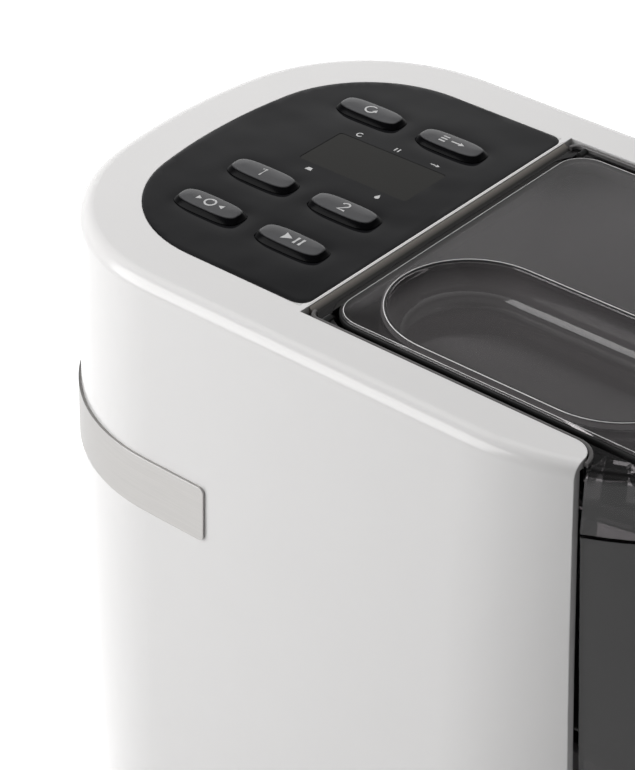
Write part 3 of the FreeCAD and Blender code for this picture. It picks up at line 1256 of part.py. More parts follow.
def make_cooling_fan():
    body = new_body("cooling_fan")
    start = "(%s - cut_over - fan_hub - 1)" % MOTOR_BACK
    ring(body, "YZ_Plane", start, "0", MOTOR_HEIGHT, "fan_hub_r", "motor_shaft_r", "fan_hub")
    low = "%s + fan_hub_r - 1" % MOTOR_HEIGHT
    high = "%s + fan_r" % MOTOR_HEIGHT
    blade = sketch_on(body, "XZ_Plane", "-blade_thick / 2")
    draw_box(blade, "%s + 0.5" % start, "%s + 0.5 + fan_wide" % start, low, high)
    pad = extrude(body, blade, "blade_thick")
    repeat_round_x(body, pad, MOTOR_HEIGHT, BLADES)
    return body


# Kneading and extruding

HUB_R = "(shaft_r + hub_wall)"
HUB_START = "(-tub_back + tub_wall + 1.5)"
AUGER_BACK = "(tub_front - tub_wall - 6)"
AUGER_FRONT = "(barrel_end - 3)"
BARREL_R = "(barrel_bore + barrel_wall)"
DIE_BACK = "(barrel_end + press_gap)"
DIE_FRONT = "(%s + die_thick + press_gap)" % DIE_BACK
LUG_TOP = "(%s + lug_tall)" % BARREL_R
PASTA_HOLES = 8
SCOOPS = 12


def make_drive_shaft():
    body = new_body("drive_shaft")
    start = "(0.5 - box_rear)"
    disc(body, "YZ_Plane", start, "0", "shaft_height", "shaft_r", "tub_front - 9 - %s" % start)
    block(body, "YZ_Plane", "tub_front - 9.5", "-tongue / 2", "tongue / 2", "shaft_height - tongue / 2",
          "shaft_height + tongue / 2", "tongue_long")
    return body


def make_shaft_seal():
    body = new_body("shaft_seal")
    ring(body, "YZ_Plane", "-tub_back - stem_gap", "0", "shaft_height", "shaft_r + shaft_pad",
         "shaft_r + running_gap", "tub_wall + stem_gap")
    return body


def make_paddle():
    """Hub that slides over the shaft, with radial arms a quarter turn apart along it."""
    body = new_body("kneading_paddle")
    ring(body, "YZ_Plane", HUB_START, "0", "shaft_height", HUB_R, "shaft_r + running_gap",
         "tub_front - tub_wall - 8.5 - %s" % HUB_START)
    inner = "(shaft_r + 2)"
    long = "arm_reach - %s" % inner
    for step in range(4):
        across = "%d * arm_step - first_arm" % step
        back = step >= 2
        sign = "-" if back else "+"
        if step % 2 == 0:
            disc(body, "XY_Plane", "shaft_height %s %s" % (sign, inner), across, "0", "arm_r", long, flip=back)
        else:
            disc(body, "XZ_Plane", "0 %s %s" % (sign, inner), across, "shaft_height", "arm_r", long, flip=back)
    tip = size("arm_reach") - TOUCH
    axis_z = size("shaft_height")
    bevel_edges(body, "arm_bevel", lambda m, edge: edge.Closed and
                math.hypot(edge.BoundBox.Center.y, edge.BoundBox.Center.z - axis_z) > tip)
    return body


def make_auger():
    """Screw that feeds the dough to the die: round core with a helical flight."""
    body = new_body("auger_screw")
    disc(body, "YZ_Plane", AUGER_BACK, "0", "shaft_height", "auger_core", "%s - %s" % (AUGER_FRONT, AUGER_BACK))
    section = sketch_on(body, "XZ_Plane")
    section.setExpression("AttachmentOffset.Base.y", linked("shaft_height"))
    low = "auger_core - 1"
    high = "barrel_bore - flight_gap"
    start = "%s + flight_root" % AUGER_BACK
    taper = "(flight_root - flight_tip) / 2"
    end = "%s + flight_root" % start
    draw_polygon(section, [(start, low), (end, low), ("%s - %s" % (end, taper), high),
                           ("%s + %s" % (start, taper), high)])
    helix = body.newObject("PartDesign::AdditiveHelix", "auger_flight")
    helix.Profile = section
    helix.ReferenceAxis = (section, ["H_Axis"])
    helix.Mode = "pitch-height-angle"
    helix.setExpression("Pitch", linked("auger_pitch"))
    helix.setExpression("Height", linked("%s - %s - 2 * flight_root - 1" % (AUGER_FRONT, AUGER_BACK)))
    doc.recompute()
    half = "(tongue / 2 + window_gap)"
    block(body, "YZ_Plane", "%s - cut_over" % AUGER_BACK, "-%s" % half, half, "shaft_height - %s" % half,
          "shaft_height + %s" % half, "tongue_long + 2 * cut_over", cut=True, flip=True)
    return body


def make_barrel():
    body = new_body("extrusion_barrel")
    ring(body, "YZ_Plane", "tub_front - tub_wall", "0", "shaft_height", BARREL_R, "barrel_bore",
         "barrel_end - tub_front + tub_wall")
    ring(body, "YZ_Plane", "tub_front + press_gap", "0", "shaft_height", "%s + flange_wide" % BARREL_R,
         "%s - 0.5" % BARREL_R, "flange_thick")
    for side in ("1", "-1"):
        inner = "shaft_height + %s * (%s - 1)" % (side, BARREL_R)
        outer = "shaft_height + %s * %s" % (side, LUG_TOP)
        ends = (inner, outer) if side == "1" else (outer, inner)
        block(body, "YZ_Plane", "barrel_end - lug_back", "-lug_half", "lug_half", *ends, "lug_long")
    return body


def make_die_disc():
    """Removable disc with a ring of pasta holes round a middle hole."""
    body = new_body("die_disc")
    disc(body, "YZ_Plane", DIE_BACK, "0", "shaft_height", "%s - 0.5" % BARREL_R, "die_thick")
    holes = sketch_on(body, "YZ_Plane", DIE_BACK)
    draw_circle(holes, "0", "shaft_height", "pasta_r")
    for step in range(PASTA_HOLES):
        turn = "%d deg" % (360 // PASTA_HOLES * step)
        across = "pasta_ring * cos(%s)" % turn
        draw_circle(holes, across, "shaft_height + pasta_ring * sin(%s)" % turn, "pasta_r")
    extrude(body, holes, "die_thick + cut_over", cut=True, flip=True)
    return body


def make_ring_nut():
    """Grip ring that holds the die with a part turn on the barrel's two lugs."""
    body = new_body("ring_nut")
    room = "(lug_tall + fit_gap)"
    disc(body, "YZ_Plane", "nut_back", "0", "shaft_height", "nut_r", "%s + nut_lip - nut_back" % DIE_FRONT)
    front = size("barrel_end") + 5
    bevel_edges(body, "nut_bevel", lambda m, edge: edge.Closed and m.x > front)
    disc(body, "YZ_Plane", "nut_back - cut_over", "0", "shaft_height", "%s + fit_gap" % BARREL_R,
         "%s - nut_back + cut_over" % DIE_FRONT, cut=True, flip=True)
    disc(body, "YZ_Plane", "nut_back + nut_floor", "0", "shaft_height", "%s + %s" % (BARREL_R, room),
         "%s - nut_back - nut_floor" % DIE_FRONT, cut=True, flip=True)
    slot = "(%s + %s)" % (BARREL_R, room)
    slot_half = "(lug_half + 0.6)"
    block(body, "YZ_Plane", "nut_back - cut_over", "-%s" % slot, slot, "shaft_height - %s" % slot_half,
          "shaft_height + %s" % slot_half, "nut_floor + 2.4 * cut_over", cut=True, flip=True)
    disc(body, "YZ_Plane", "barrel_end", "0", "shaft_height", "barrel_bore - 2", "nut_lip + 3 * die_thick",
         cut=True, flip=True)
    grip = sketch_on(body, "YZ_Plane", "nut_back - cut_over")
    draw_circle(grip, "nut_r + grip_out", "shaft_height", "grip_r")
    scoop = extrude(body, grip, "nut_r", cut=True, flip=True)
    repeat_round_x(body, scoop, "shaft_height", SCOOPS)
    return body


# Electrics

SOCKET_X = "(-rear_reach - side_bulge - 0.4)"
BOARD_LOW = "(%s + power_lift)" % BASE_TOP
CONTACTS = 3


def make_power_board():
    """Board on four pillars, with a transformer, a relay and a capacitor."""
    body = new_body("power_board")
    block(body, "XY_Plane", BOARD_LOW, "-power_rear", "-power_front", "power_near", "power_far", "board_thick")
    for across in ("6 - power_rear", "-power_front - 6"):
        for up in ("power_near + 4", "power_far - 5"):
            disc(body, "XY_Plane", BASE_TOP, across, up, "stem_r", "power_lift")
    top = "%s + board_thick" % BOARD_LOW
    block(body, "XY_Plane", top, "8 - power_rear", "30 - power_rear", "power_near + 10", "power_far - 6", "22")
    block(body, "XY_Plane", top, "36 - power_rear", "48 - power_rear", "power_near + 8", "power_near + 18",
          "16")
    disc(body, "XY_Plane", top, "-power_front - 14", "power_far - 12", "7", "25")
    return body


def make_power_inlet():
    """Mains socket let into the lower rear wall."""
    body = new_body("power_inlet")

    def socket(start, inset, length, radius, **how):
        block(body, "YZ_Plane", start, "%s - inlet_half" % inset, "inlet_half - %s" % inset,
              "inlet_height - inlet_rise + %s" % inset, "inlet_height + inlet_rise - %s" % inset, length,
              radius=radius, **how)

    socket(SOCKET_X, "0", "inlet_flange", "wall")
    socket(SOCKET_X, "inlet_rim", "inlet_deep", "inlet_wall")
    socket("%s - 0.6" % SOCKET_X, "(inlet_rim + inlet_wall)", "socket_deep + cut_over", "inlet_wall", cut=True,
           flip=True)
    for step in range(CONTACTS):
        across = "%d * contact_step" % (step - 1)
        block(body, "YZ_Plane", "%s + socket_deep + fit_gap" % SOCKET_X, "%s - rib / 2" % across,
              "%s + rib / 2" % across, "inlet_height - rib", "inlet_height + rib", "contact_long", flip=True)
    return body


def make_load_cells():
    """Bending beams that weigh the tub's contents, one above each foot."""
    body = new_body("load_cells")
    for across, up in FOOT_SPOTS:
        block(body, "XY_Plane", BASE_TOP, "%s - cell_half" % across, "%s + cell_half" % across,
              "%s - cell_side" % up, "%s + cell_side" % up, "cell_side")
    return body


def make_lid_switch():
    """Safety switch behind the hinge end of the lid."""
    body = new_body("lid_switch")
    front = "-panel_front + press_gap"
    block(body, "XY_Plane", "%s - frame_drop + press_gap" % COLLAR_LOW, "%s - lid_switch_deep" % front, front,
          "lid_switch_side", "lid_switch_side + lid_switch_wide", "lid_switch_tall")
    return body


def make_base_screws():
    body = new_body("base_screws")
    for across, up in SCREW_SPOTS:
        disc(body, "XY_Plane", "foot_height - screw_head", across, up, "screw_head_r", "screw_head")
        disc(body, "XY_Plane", "foot_height", across, up, "screw_r", "screw_long")
    return body


# Assembly

def make_all():
    nodes = [make_casing(), make_base_plate(), make_rubber_feet(), make_steel_band(), make_control_panel(),
             make_display_window(), make_display_module(), make_control_board(), make_button_switches(),
             make_board_tray(), make_inner_frame(), make_chamber_cradle(), make_chamber(), make_lid(),
             make_lid_seal(), make_front_cover(), make_gearbox_housing(), make_gearbox_cover(), make_bushes(),
             make_output_gear(), make_compound_gear(), make_motor_pinion(), make_motor_body(),
             make_motor_shaft(), make_cooling_fan(), make_drive_shaft(), make_shaft_seal(), make_paddle(),
             make_auger(), make_barrel(), make_die_disc(), make_ring_nut(), make_power_board(),
             make_power_inlet(), make_load_cells(), make_lid_switch(), make_base_screws()]
    nodes += [make_button(name, across, up) for name, across, up in BUTTONS]
    return nodes


def check(nodes):
    """Stops before anything is written if an object failed or a shape is not sound."""
    doc.recompute()
    for item in doc.Objects:
        if "Invalid" in item.State or "Error" in item.State:
            raise RuntimeError("%s failed: %s" % (item.Label, item.State))
    for node in nodes:
        if node.Shape.isNull() or not node.Shape.isValid() or not node.Shape.Solids:
            raise RuntimeError("%s has no sound solid" % node.Label)


parts = make_all()
check(parts)
os.makedirs("parts", exist_ok=True)
for part in parts:
    part.Shape.exportStep("parts/%s.step" % part.Label)
    print(part.Label, len(part.Shape.Solids), "solid", round(part.Shape.Volume), "mm3")
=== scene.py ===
import json
import math

import bmesh
import bpy
from mathutils import Matrix, Vector
from mathutils.geometry import delaunay_2d_cdt


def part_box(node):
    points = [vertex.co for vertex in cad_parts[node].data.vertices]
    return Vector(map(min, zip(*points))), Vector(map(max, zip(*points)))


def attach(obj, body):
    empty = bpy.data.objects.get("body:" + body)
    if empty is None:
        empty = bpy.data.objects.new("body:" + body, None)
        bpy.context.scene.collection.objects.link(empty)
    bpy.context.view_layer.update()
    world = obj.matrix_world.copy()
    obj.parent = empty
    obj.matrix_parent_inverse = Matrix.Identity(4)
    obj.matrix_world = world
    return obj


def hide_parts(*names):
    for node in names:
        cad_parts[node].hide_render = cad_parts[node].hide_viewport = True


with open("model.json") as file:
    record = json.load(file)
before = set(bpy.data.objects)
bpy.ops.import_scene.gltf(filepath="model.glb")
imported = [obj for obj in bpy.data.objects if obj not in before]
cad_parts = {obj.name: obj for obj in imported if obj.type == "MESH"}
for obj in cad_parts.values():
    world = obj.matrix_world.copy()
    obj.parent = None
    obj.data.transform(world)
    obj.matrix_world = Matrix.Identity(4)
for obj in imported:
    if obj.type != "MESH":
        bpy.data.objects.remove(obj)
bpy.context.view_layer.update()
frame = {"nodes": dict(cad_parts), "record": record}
scene = bpy.context.scene

# Sizes in millimetres, in the frame's own axes, unless a name says otherwise

MM = 0.001
DECK = 300.0
NOSE_X = 50.0
HALF_WIDTH = 100.0
STRIP_REAR = -34.75
STRIP_FRONT = -28.7

# The photograph's camera

PHOTO_HEIGHT = 770
SENSOR = 36.0
FOCAL_PIXELS = 2506.0
AZIMUTH = math.radians(38.99)
ELEVATION = math.radians(34.48)
ROLL = math.radians(1.01)
DISTANCE = 810.2 * MM
TARGET = Vector((-1.8, -110, DECK)) * MM


def make_camera():
    back = Vector((math.sin(AZIMUTH) * math.cos(ELEVATION), -math.cos(AZIMUTH) * math.cos(ELEVATION),
                   math.sin(ELEVATION)))
    level = Vector((math.cos(AZIMUTH), math.sin(AZIMUTH), 0))
    upright = back.cross(level)
    right = math.cos(ROLL) * level + math.sin(ROLL) * upright
    up = math.cos(ROLL) * upright - math.sin(ROLL) * level
    data = bpy.data.cameras.new("camera")
    data.sensor_fit = "VERTICAL"
    data.sensor_height = SENSOR
    data.lens = SENSOR * FOCAL_PIXELS / PHOTO_HEIGHT
    camera = bpy.data.objects.new("camera", data)
    turn = Matrix((right, up, back)).transposed().to_4x4()
    camera.matrix_world = Matrix.Translation(TARGET + DISTANCE * back) @ turn
    scene.collection.objects.link(camera)
    scene.camera = camera


# Materials

CLOUD_SCALE = 35
WAVE_SCALE = 22
GRAIN_SCALE = 2600
# Painted shade for the strip behind the lid: pale beside the web, dark towards the lid
PAINTED_SHADE_BY_WEB = (0.36, 0.33, 0.3)
PAINTED_SHADE_BY_LID = (0.022, 0.021, 0.02)
# Painted shade: black for the buttons' sides, where they turn down
SIDE_PAINTED_SHADE = (0.0015, 0.0015, 0.002)
# Painted light: emission inside the lid's trough, fading from low down to its mouth
TROUGH_PAINTED_GLOW = 0.03
PAINTED_GLOW_LOW = 290
PAINTED_GLOW_HIGH = 299.4


def new_material(name, colour, roughness, **sockets):
    """A principled material; sockets are the shader's own inputs by name, with _ for spaces."""
    material = bpy.data.materials.new(name)
    material.use_nodes = True
    shader = material.node_tree.nodes["Principled BSDF"]
    shader.inputs["Base Color"].default_value = (*colour, 1)
    shader.inputs["Roughness"].default_value = roughness
    for key, value in sockets.items():
        shader.inputs[key.replace("_", " ")].default_value = value
    return material, material.node_tree, shader


def noise_on(tree, scale, detail=3.0, stretch=(1, 1, 1)):
    """Noise over the piece's own coordinates, in metres."""
    place = tree.nodes.new("ShaderNodeTexCoord")
    mapping = tree.nodes.new("ShaderNodeMapping")
    mapping.inputs["Scale"].default_value = stretch
    noise = tree.nodes.new("ShaderNodeTexNoise")
    noise.inputs["Scale"].default_value = scale
    noise.inputs["Detail"].default_value = detail
    tree.links.new(place.outputs["Object"], mapping.inputs["Vector"])
    tree.links.new(mapping.outputs["Vector"], noise.inputs["Vector"])
    return noise


def between(tree, value, start=0.0, end=1.0, low=0.0, high=1.0):
    """The value mapped from start..end to low..high and held at both ends."""
    level = tree.nodes.new("ShaderNodeMapRange")
    for name, number in (("From Min", start), ("From Max", end), ("To Min", low), ("To Max", high)):
        level.inputs[name].default_value = number
    tree.links.new(value, level.inputs["Value"])
    return level.outputs["Result"]


def axis_of(tree, kind, output, axis):
    """One axis of a vector that a new node of this kind gives."""
    source = tree.nodes.new(kind)
    split = tree.nodes.new("ShaderNodeSeparateXYZ")
    tree.links.new(source.outputs[output], split.inputs["Vector"])
    return split.outputs[axis]


def blend_colour(tree, shader, factor, first, second):
    """Base colour from first to second as the factor goes from 0 to 1."""
    blend = tree.nodes.new("ShaderNodeMix")
    blend.data_type = "RGBA"
    blend.inputs["A"].default_value = (*first, 1)
    blend.inputs["B"].default_value = (*second, 1)
    tree.links.new(factor, blend.inputs["Factor"])
    tree.links.new(blend.outputs["Result"], shader.inputs["Base Color"])
    return blend


def vary_roughness(tree, shader, noise, low, high):
    tree.links.new(between(tree, noise.outputs["Fac"], 0.1, 0.9, low, high), shader.inputs["Roughness"])


def add_bump(tree, shader, noise, depth, strength=1.0, round_edges=0.0):
    """Bump from the noise, over edges that the shader rounds off by round_edges metres."""
    bump = tree.nodes.new("ShaderNodeBump")
    bump.inputs["Strength"].default_value = strength
    bump.inputs["Distance"].default_value = depth
    tree.links.new(noise.outputs["Fac"], bump.inputs["Height"])
    tree.links.new(bump.outputs["Normal"], shader.inputs["Normal"])
    if round_edges:
        bevel = tree.nodes.new("ShaderNodeBevel")
        bevel.samples = 6
        bevel.inputs["Radius"].default_value = round_edges
        tree.links.new(bevel.outputs["Normal"], bump.inputs["Normal"])


def scaled(colour, factor):
    return tuple(channel * factor for channel in colour)


def plastic(name, colour, roughness, grain=0.0, spread=0.03, tint=0.04, edge=0.0, wave=0.00004, **sockets):
    """Moulded plastic: slightly uneven colour and gloss, with a fine grain where it isn't polished."""
    material, tree, shader = new_material(name, colour, roughness, **sockets)
    cloud = noise_on(tree, CLOUD_SCALE, 2)
    vary_roughness(tree, shader, cloud, roughness - spread, roughness + spread)
    blend_colour(tree, shader, cloud.outputs["Fac"], scaled(colour, 1 - tint), scaled(colour, 1 + tint))
    surface = noise_on(tree, GRAIN_SCALE if grain else WAVE_SCALE, 2)
    add_bump(tree, shader, surface, grain or wave, round_edges=edge)
    return material


def metal(name, colour, roughness, stretch=(1, 1, 1), scale=900, depth=0.00001, edge=0.0):
    """Metal whose fine scratches are drawn out along one axis."""
    material, tree, shader = new_material(name, colour, roughness, Metallic=1.0)
    lines = noise_on(tree, scale, 4, stretch)
    vary_roughness(tree, shader, lines, roughness - 0.08, roughness + 0.1)
    blend_colour(tree, shader, lines.outputs["Fac"], scaled(colour, 0.85), scaled(colour, 1.08))
    add_bump(tree, shader, lines, depth, 0.5, edge)
    return material


def smoked(name, colour, roughness, clear=0.93):
    """Dark transparent plastic; the rest of clear is the haze of many small scratches."""
    material, tree, shader = new_material(name, colour, roughness, Transmission_Weight=clear, IOR=1.49)
    cloud = noise_on(tree, 30, 2)
    vary_roughness(tree, shader, cloud, roughness, roughness + 0.03)
    add_bump(tree, shader, noise_on(tree, 25, 2), 0.00003)
    return material


def button_with_painted_side_shade():
    """Satin dark grey on top; painted shade where the surface turns down: black colour and weaker
    reflection.
    """
    material = plastic("button_black", (0.08, 0.08, 0.083), 0.22, spread=0.02)
    tree = material.node_tree
    shader = tree.nodes["Principled BSDF"]
    uneven = shader.inputs["Base Color"].links[0].from_socket
    # Painted shade: where the normal drops below this height, the colour goes to black and the reflection
    # weakens
    level = between(tree, axis_of(tree, "ShaderNodeNewGeometry", "Normal", "Z"), 0.82, 0.95)
    blend = blend_colour(tree, shader, level, SIDE_PAINTED_SHADE, SIDE_PAINTED_SHADE)
    tree.links.new(uneven, blend.inputs["B"])
    tree.links.new(between(tree, level, low=0.06, high=0.5), shader.inputs["Specular IOR Level"])
    return material


def lid_smoke():
    """Smoked plastic with more haze on its upright walls, and painted light: a faint glow inside the
    trough, strongest low down and gone at its mouth.
    """
    material = smoked("lid_smoke", (0.22, 0.207, 0.212), 0.05)
    tree = material.node_tree
    shader = tree.nodes["Principled BSDF"]
    shader.inputs["Emission Color"].default_value = (1, 0.96, 0.97, 1)
    level = axis_of(tree, "ShaderNodeNewGeometry", "Normal", "Z")
    height = axis_of(tree, "ShaderNodeTexCoord", "Object", "Z")
    # Painted light: the trough glows, more towards its floor
    glow = between(tree, height, PAINTED_GLOW_LOW * MM, PAINTED_GLOW_HIGH * MM, TROUGH_PAINTED_GLOW, 0)
    tree.links.new(between(tree, level, 0, 0.85, 0.7, 0.96), shader.inputs["Transmission Weight"])
    tree.links.new(glow, shader.inputs["Emission Strength"])
    return material


def painted_shade_strip():
    """Stands for the smoked collar over the white web, coloured with painted shade: pale beside the web,
    dark towards the lid.
    """
    material, tree, shader = new_material("collar_painted_shade", (0.1, 0.09, 0.08), 0.25)
    across = axis_of(tree, "ShaderNodeTexCoord", "Object", "X")
    # Painted shade: the colour darkens from the web towards the lid
    level = between(tree, across, STRIP_REAR * MM, (STRIP_FRONT - 3.0) * MM)
    blend_colour(tree, shader, level, PAINTED_SHADE_BY_WEB, PAINTED_SHADE_BY_LID)
    cloud = noise_on(tree, 60, 2)
    vary_roughness(tree, shader, cloud, 0.2, 0.3)
    add_bump(tree, shader, cloud, 0.00002)
    return material


MATERIALS = {
    "white_gloss": plastic("white_gloss", (0.80, 0.79, 0.785), 0.24, spread=0.02, tint=0.01, edge=0.0006,
                           Coat_Weight=0.5, Coat_Roughness=0.12),
    "base_plastic": plastic("base_plastic", (0.035, 0.035, 0.037), 0.5, grain=0.00004),
    "foot_rubber": plastic("foot_rubber", (0.018, 0.018, 0.018), 0.75, grain=0.00005),
    "band_steel": metal("band_steel", (0.44, 0.43, 0.42), 0.34, (1, 1, 70), 45, 0.00003, edge=0.0004),
    "panel_black": plastic("panel_black", (0.006, 0.006, 0.007), 0.07, spread=0.02, wave=0.0006),
    "button_black": button_with_painted_side_shade(),
    "display_glass": plastic("display_glass", (0.013, 0.0125, 0.011), 0.12, spread=0.02),
    "display_grey": plastic("display_grey", (0.05, 0.052, 0.045), 0.4),
    "board_green": plastic("board_green", (0.01, 0.08, 0.03), 0.35),
    "switch_black": plastic("switch_black", (0.02, 0.02, 0.02), 0.5),
    "tray_plastic": plastic("tray_plastic", (0.35, 0.35, 0.35), 0.5, grain=0.00003),
    "frame_steel": metal("frame_steel", (0.5, 0.51, 0.52), 0.4),
    "cradle_plastic": plastic("cradle_plastic", (0.22, 0.22, 0.22), 0.5, grain=0.00003),
    "smoked_plastic": smoked("smoked_plastic", (0.17, 0.16, 0.165), 0.03, 0.97),
    "seal_rubber": plastic("seal_rubber", (0.02, 0.02, 0.02), 0.65, grain=0.00003),
    "gear_plastic": plastic("gear_plastic", (0.7, 0.67, 0.58), 0.45),
    "box_plastic": plastic("box_plastic", (0.04, 0.04, 0.043), 0.5, grain=0.00004),
    "bush_brass": metal("bush_brass", (0.65, 0.48, 0.24), 0.35),
    "motor_steel": metal("motor_steel", (0.42, 0.43, 0.44), 0.38),
    "shaft_steel": metal("shaft_steel", (0.62, 0.62, 0.62), 0.2),
    "fan_plastic": plastic("fan_plastic", (0.02, 0.02, 0.02), 0.5),
    "food_plastic": plastic("food_plastic", (0.45, 0.45, 0.43), 0.32),
    "barrel_plastic": plastic("barrel_plastic", (0.08, 0.08, 0.085), 0.22),
    "die_plastic": plastic("die_plastic", (0.55, 0.54, 0.5), 0.35),
    "nut_plastic": plastic("nut_plastic", (0.78, 0.775, 0.765), 0.2, tint=0.01),
    "inlet_plastic": plastic("inlet_plastic", (0.012, 0.012, 0.012), 0.4, grain=0.00003),
    "cell_aluminium": metal("cell_aluminium", (0.7, 0.7, 0.7), 0.35),
    "screw_steel": metal("screw_steel", (0.55, 0.55, 0.55), 0.3),
}
STRIP_PAINTED_SHADE = painted_shade_strip()
LID_SMOKE = lid_smoke()
# Painted highlight: pale rings standing in for light caught on the lid's edges
PAINTED_EDGE_HIGHLIGHT = plastic("painted_edge_highlight", (0.75, 0.74, 0.74), 0.15)
# Painted shade: flat black for the rim's shade line, the lid's seal and the hinge pins
PAINTED_SHADE_BLACK = plastic("painted_shade_black", (0.004, 0.004, 0.004), 0.5)
BEAD_GREY = plastic("bead_grey", (0.12, 0.115, 0.115), 0.12)
PRINT = plastic("print_white", (0.55, 0.55, 0.55), 0.5)


def finish_cad_nodes():
    """Gives every CAD node the material of its slot."""
    for subpart in frame["record"]["subparts"]:
        node = frame["nodes"][subpart["node"]]
        node.data.materials.clear()
        node.data.materials.append(MATERIALS[subpart["material_slot"]])


# Mesh building

def arc(x, y, radius, start, end, steps):
    """Points on an arc, both ends included, angles in degrees."""
    angles = [math.radians(start + (end - start) * step / steps) for step in range(steps + 1)]
    return [(x + radius * math.cos(angle), y + radius * math.sin(angle)) for angle in angles]


def at_height(outline, z):
    return [(x, y, z) for x, y in outline]


def inside(point, outline):
    """Whether a point lies in a closed outline."""
    x, y = point
    result = False
    for (ax, ay), (bx, by) in zip(outline, outline[1:] + outline[:1]):
        if (ay > y) != (by > y) and x < ax + (bx - ax) * (y - ay) / (by - ay):
            result = not result
    return result


def fill_flat(outer, holes=(), step=0.0):
    """Triangles between an outline and its holes, with a grid of extra points step apart."""
    points = []
    edges = []
    for loop in [outer, *holes]:
        first = len(points)
        points += loop
        edges += [(first + i, first + (i + 1) % len(loop)) for i in range(len(loop))]
    if step:
        xs = [x for x, y in outer]
        ys = [y for x, y in outer]
        for i in range(1, int((max(xs) - min(xs)) / step) + 1):
            for j in range(1, int((max(ys) - min(ys)) / step) + 1):
                spot = (min(xs) + i * step, min(ys) + j * step)
                clear = min(math.dist(spot, point) for point in points[:len(edges)]) > 0.4 * step
                if clear and inside(spot, outer) and not any(inside(spot, hole) for hole in holes):
                    points.append(spot)
    spots, _, triangles = delaunay_2d_cdt([Vector(point) for point in points], edges, [], 0, 1e-5)[:3]
    kept = []
    for triangle in triangles:
        middle = sum((spots[i] for i in triangle), Vector((0, 0))) / 3
        if inside(middle, outer) and not any(inside(middle, hole) for hole in holes):
            kept.append(tuple(triangle))
    return [tuple(spot) for spot in spots], kept


class Shell:
    """Collects points and faces in millimetres and welds them into one piece."""

    def __init__(self):
        self.points = []
        self.faces = []

    def add(self, points, faces):
        first = len(self.points)
        self.points += points
        self.faces += [tuple(first + i for i in face) for face in faces]

    def loft(self, rows, closed=True):
        """Quads between neighbouring rows of the same number of points."""
        count = len(rows[0])
        across = range(count if closed else count - 1)
        faces = [(row * count + i, row * count + (i + 1) % count, (row + 1) * count + (i + 1) % count,
                  (row + 1) * count + i) for row in range(len(rows) - 1) for i in across]
        self.add([point for row in rows for point in row], faces)

    def cap(self, row):
        self.add(list(row), [tuple(range(len(row)))])

    def flat(self, outer, holes, z, step=0.0):
        """A level region; z is a height or a function of x and y."""
        spots, triangles = fill_flat(outer, holes, step)
        height = z if callable(z) else lambda x, y: z
        self.add([(x, y, height(x, y)) for x, y in spots], triangles)

    def piece(self, name, body, slot, material=None, crease=35):
        mesh = bpy.data.meshes.new(name)
        mesh.from_pydata([Vector(point) * MM for point in self.points], [], self.faces)
        work = bmesh.new()
        work.from_mesh(mesh)
        bmesh.ops.remove_doubles(work, verts=work.verts, dist=0.004 * MM)
        bmesh.ops.recalc_face_normals(work, faces=work.faces)
        work.to_mesh(mesh)
        work.free()
        mesh.shade_smooth()
        mesh.set_sharp_from_angle(angle=math.radians(crease))
        mesh.materials.append(material or MATERIALS[slot])
        obj = bpy.data.objects.new(name, mesh)
        scene.collection.objects.link(obj)
        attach(obj, body)
        return obj


# Control panel

REAR_SWEEP = 237.0
REAR_REACH = 163.0
REAR_CORNER = 73.0
PANEL_MARGIN = 23.0
PANEL_FRONT = -35.3
PANEL_CORNER = 5.0
PANEL_THICK = 1.5
PANEL_LIP = 0.08
PANEL_EDGE = 0.5
PANEL_GRID = 2.5
RIPPLE = 0.035
SINK = 0.26
SINK_REACH = 5.0
SEAT_FRONT = -36.95
SEAT_TOP = DECK + 0.02
BUTTON_LONG = 30.0
BUTTON_WIDE = 13.0
BUTTON_TOP = 302.5
BUTTON_SIDE = 1.8
BUTTON_FOOT = 0.2
BUTTON_CREASE = 2.1
BUTTON_GAP = 0.12
BUTTON_POWER = 3.4
BUTTON_ROWS = (0, 0.4, 0.8, 1.3, 1.8, 2.3, 2.9, 3.6, 4.4, 5.3, 6.1, 6.48)
BUTTONS = {"tare_button": (-102.6, -48.5), "start_button": (-64.2, -48.5),
           "programme_a_button": (-102.6, -19.3), "programme_b_button": (-64.2, -19.3),
           "knead_button": (-102.6, 44.5), "extrude_button": (-64.2, 44.5)}
WINDOW = (-77.5, 13.5)
WINDOW_SIZE = (50.2, 25.2)


def panel_outline(inset, front, corner):
    """The D shape behind the lid: round near corner, near side, rear, far side, far corner."""
    end_x = REAR_SWEEP - REAR_REACH
    corner_y = HALF_WIDTH - REAR_CORNER
    corner_x = end_x - math.sqrt((REAR_SWEEP - REAR_CORNER) ** 2 - corner_y ** 2)
    turn = math.degrees(math.atan2(corner_y, end_x - corner_x))
    half = HALF_WIDTH - inset
    near = arc(front - corner, corner - half, corner, 0, -90, 8)
    near += arc(corner_x, -corner_y, REAR_CORNER - inset, -90, turn - 180, 28)
    rear = arc(end_x, 0, REAR_SWEEP - inset, turn - 180, -180, 10)[1:]
    side = near + rear
    return side + [(x, -y) for x, y in reversed(side[:-1])]


def pillow(centre, inset, count=64):
    """Outline of a button: a rectangle with bulging sides and round corners."""
    x, y = centre
    outline = []
    for step in range(count):
        angle = 2 * math.pi * (step + 0.5) / count
        c, s = math.cos(angle), math.sin(angle)
        across = (BUTTON_LONG / 2 - inset) * math.copysign(abs(c) ** (2 / BUTTON_POWER), c)
        up = (BUTTON_WIDE / 2 - inset) * math.copysign(abs(s) ** (2 / BUTTON_POWER), s)
        outline.append((x + across, y + up))
    return outline


def box_outline(centre, size, radius):
    x, y = centre
    across, up = size[0] / 2 - radius, size[1] / 2 - radius
    corners = [(1, 1, 0), (-1, 1, 90), (-1, -1, 180), (1, -1, 270)]
    return [point for right, high, start in corners
            for point in arc(x + right * across, y + high * up, radius, start, start + 90, 5)]


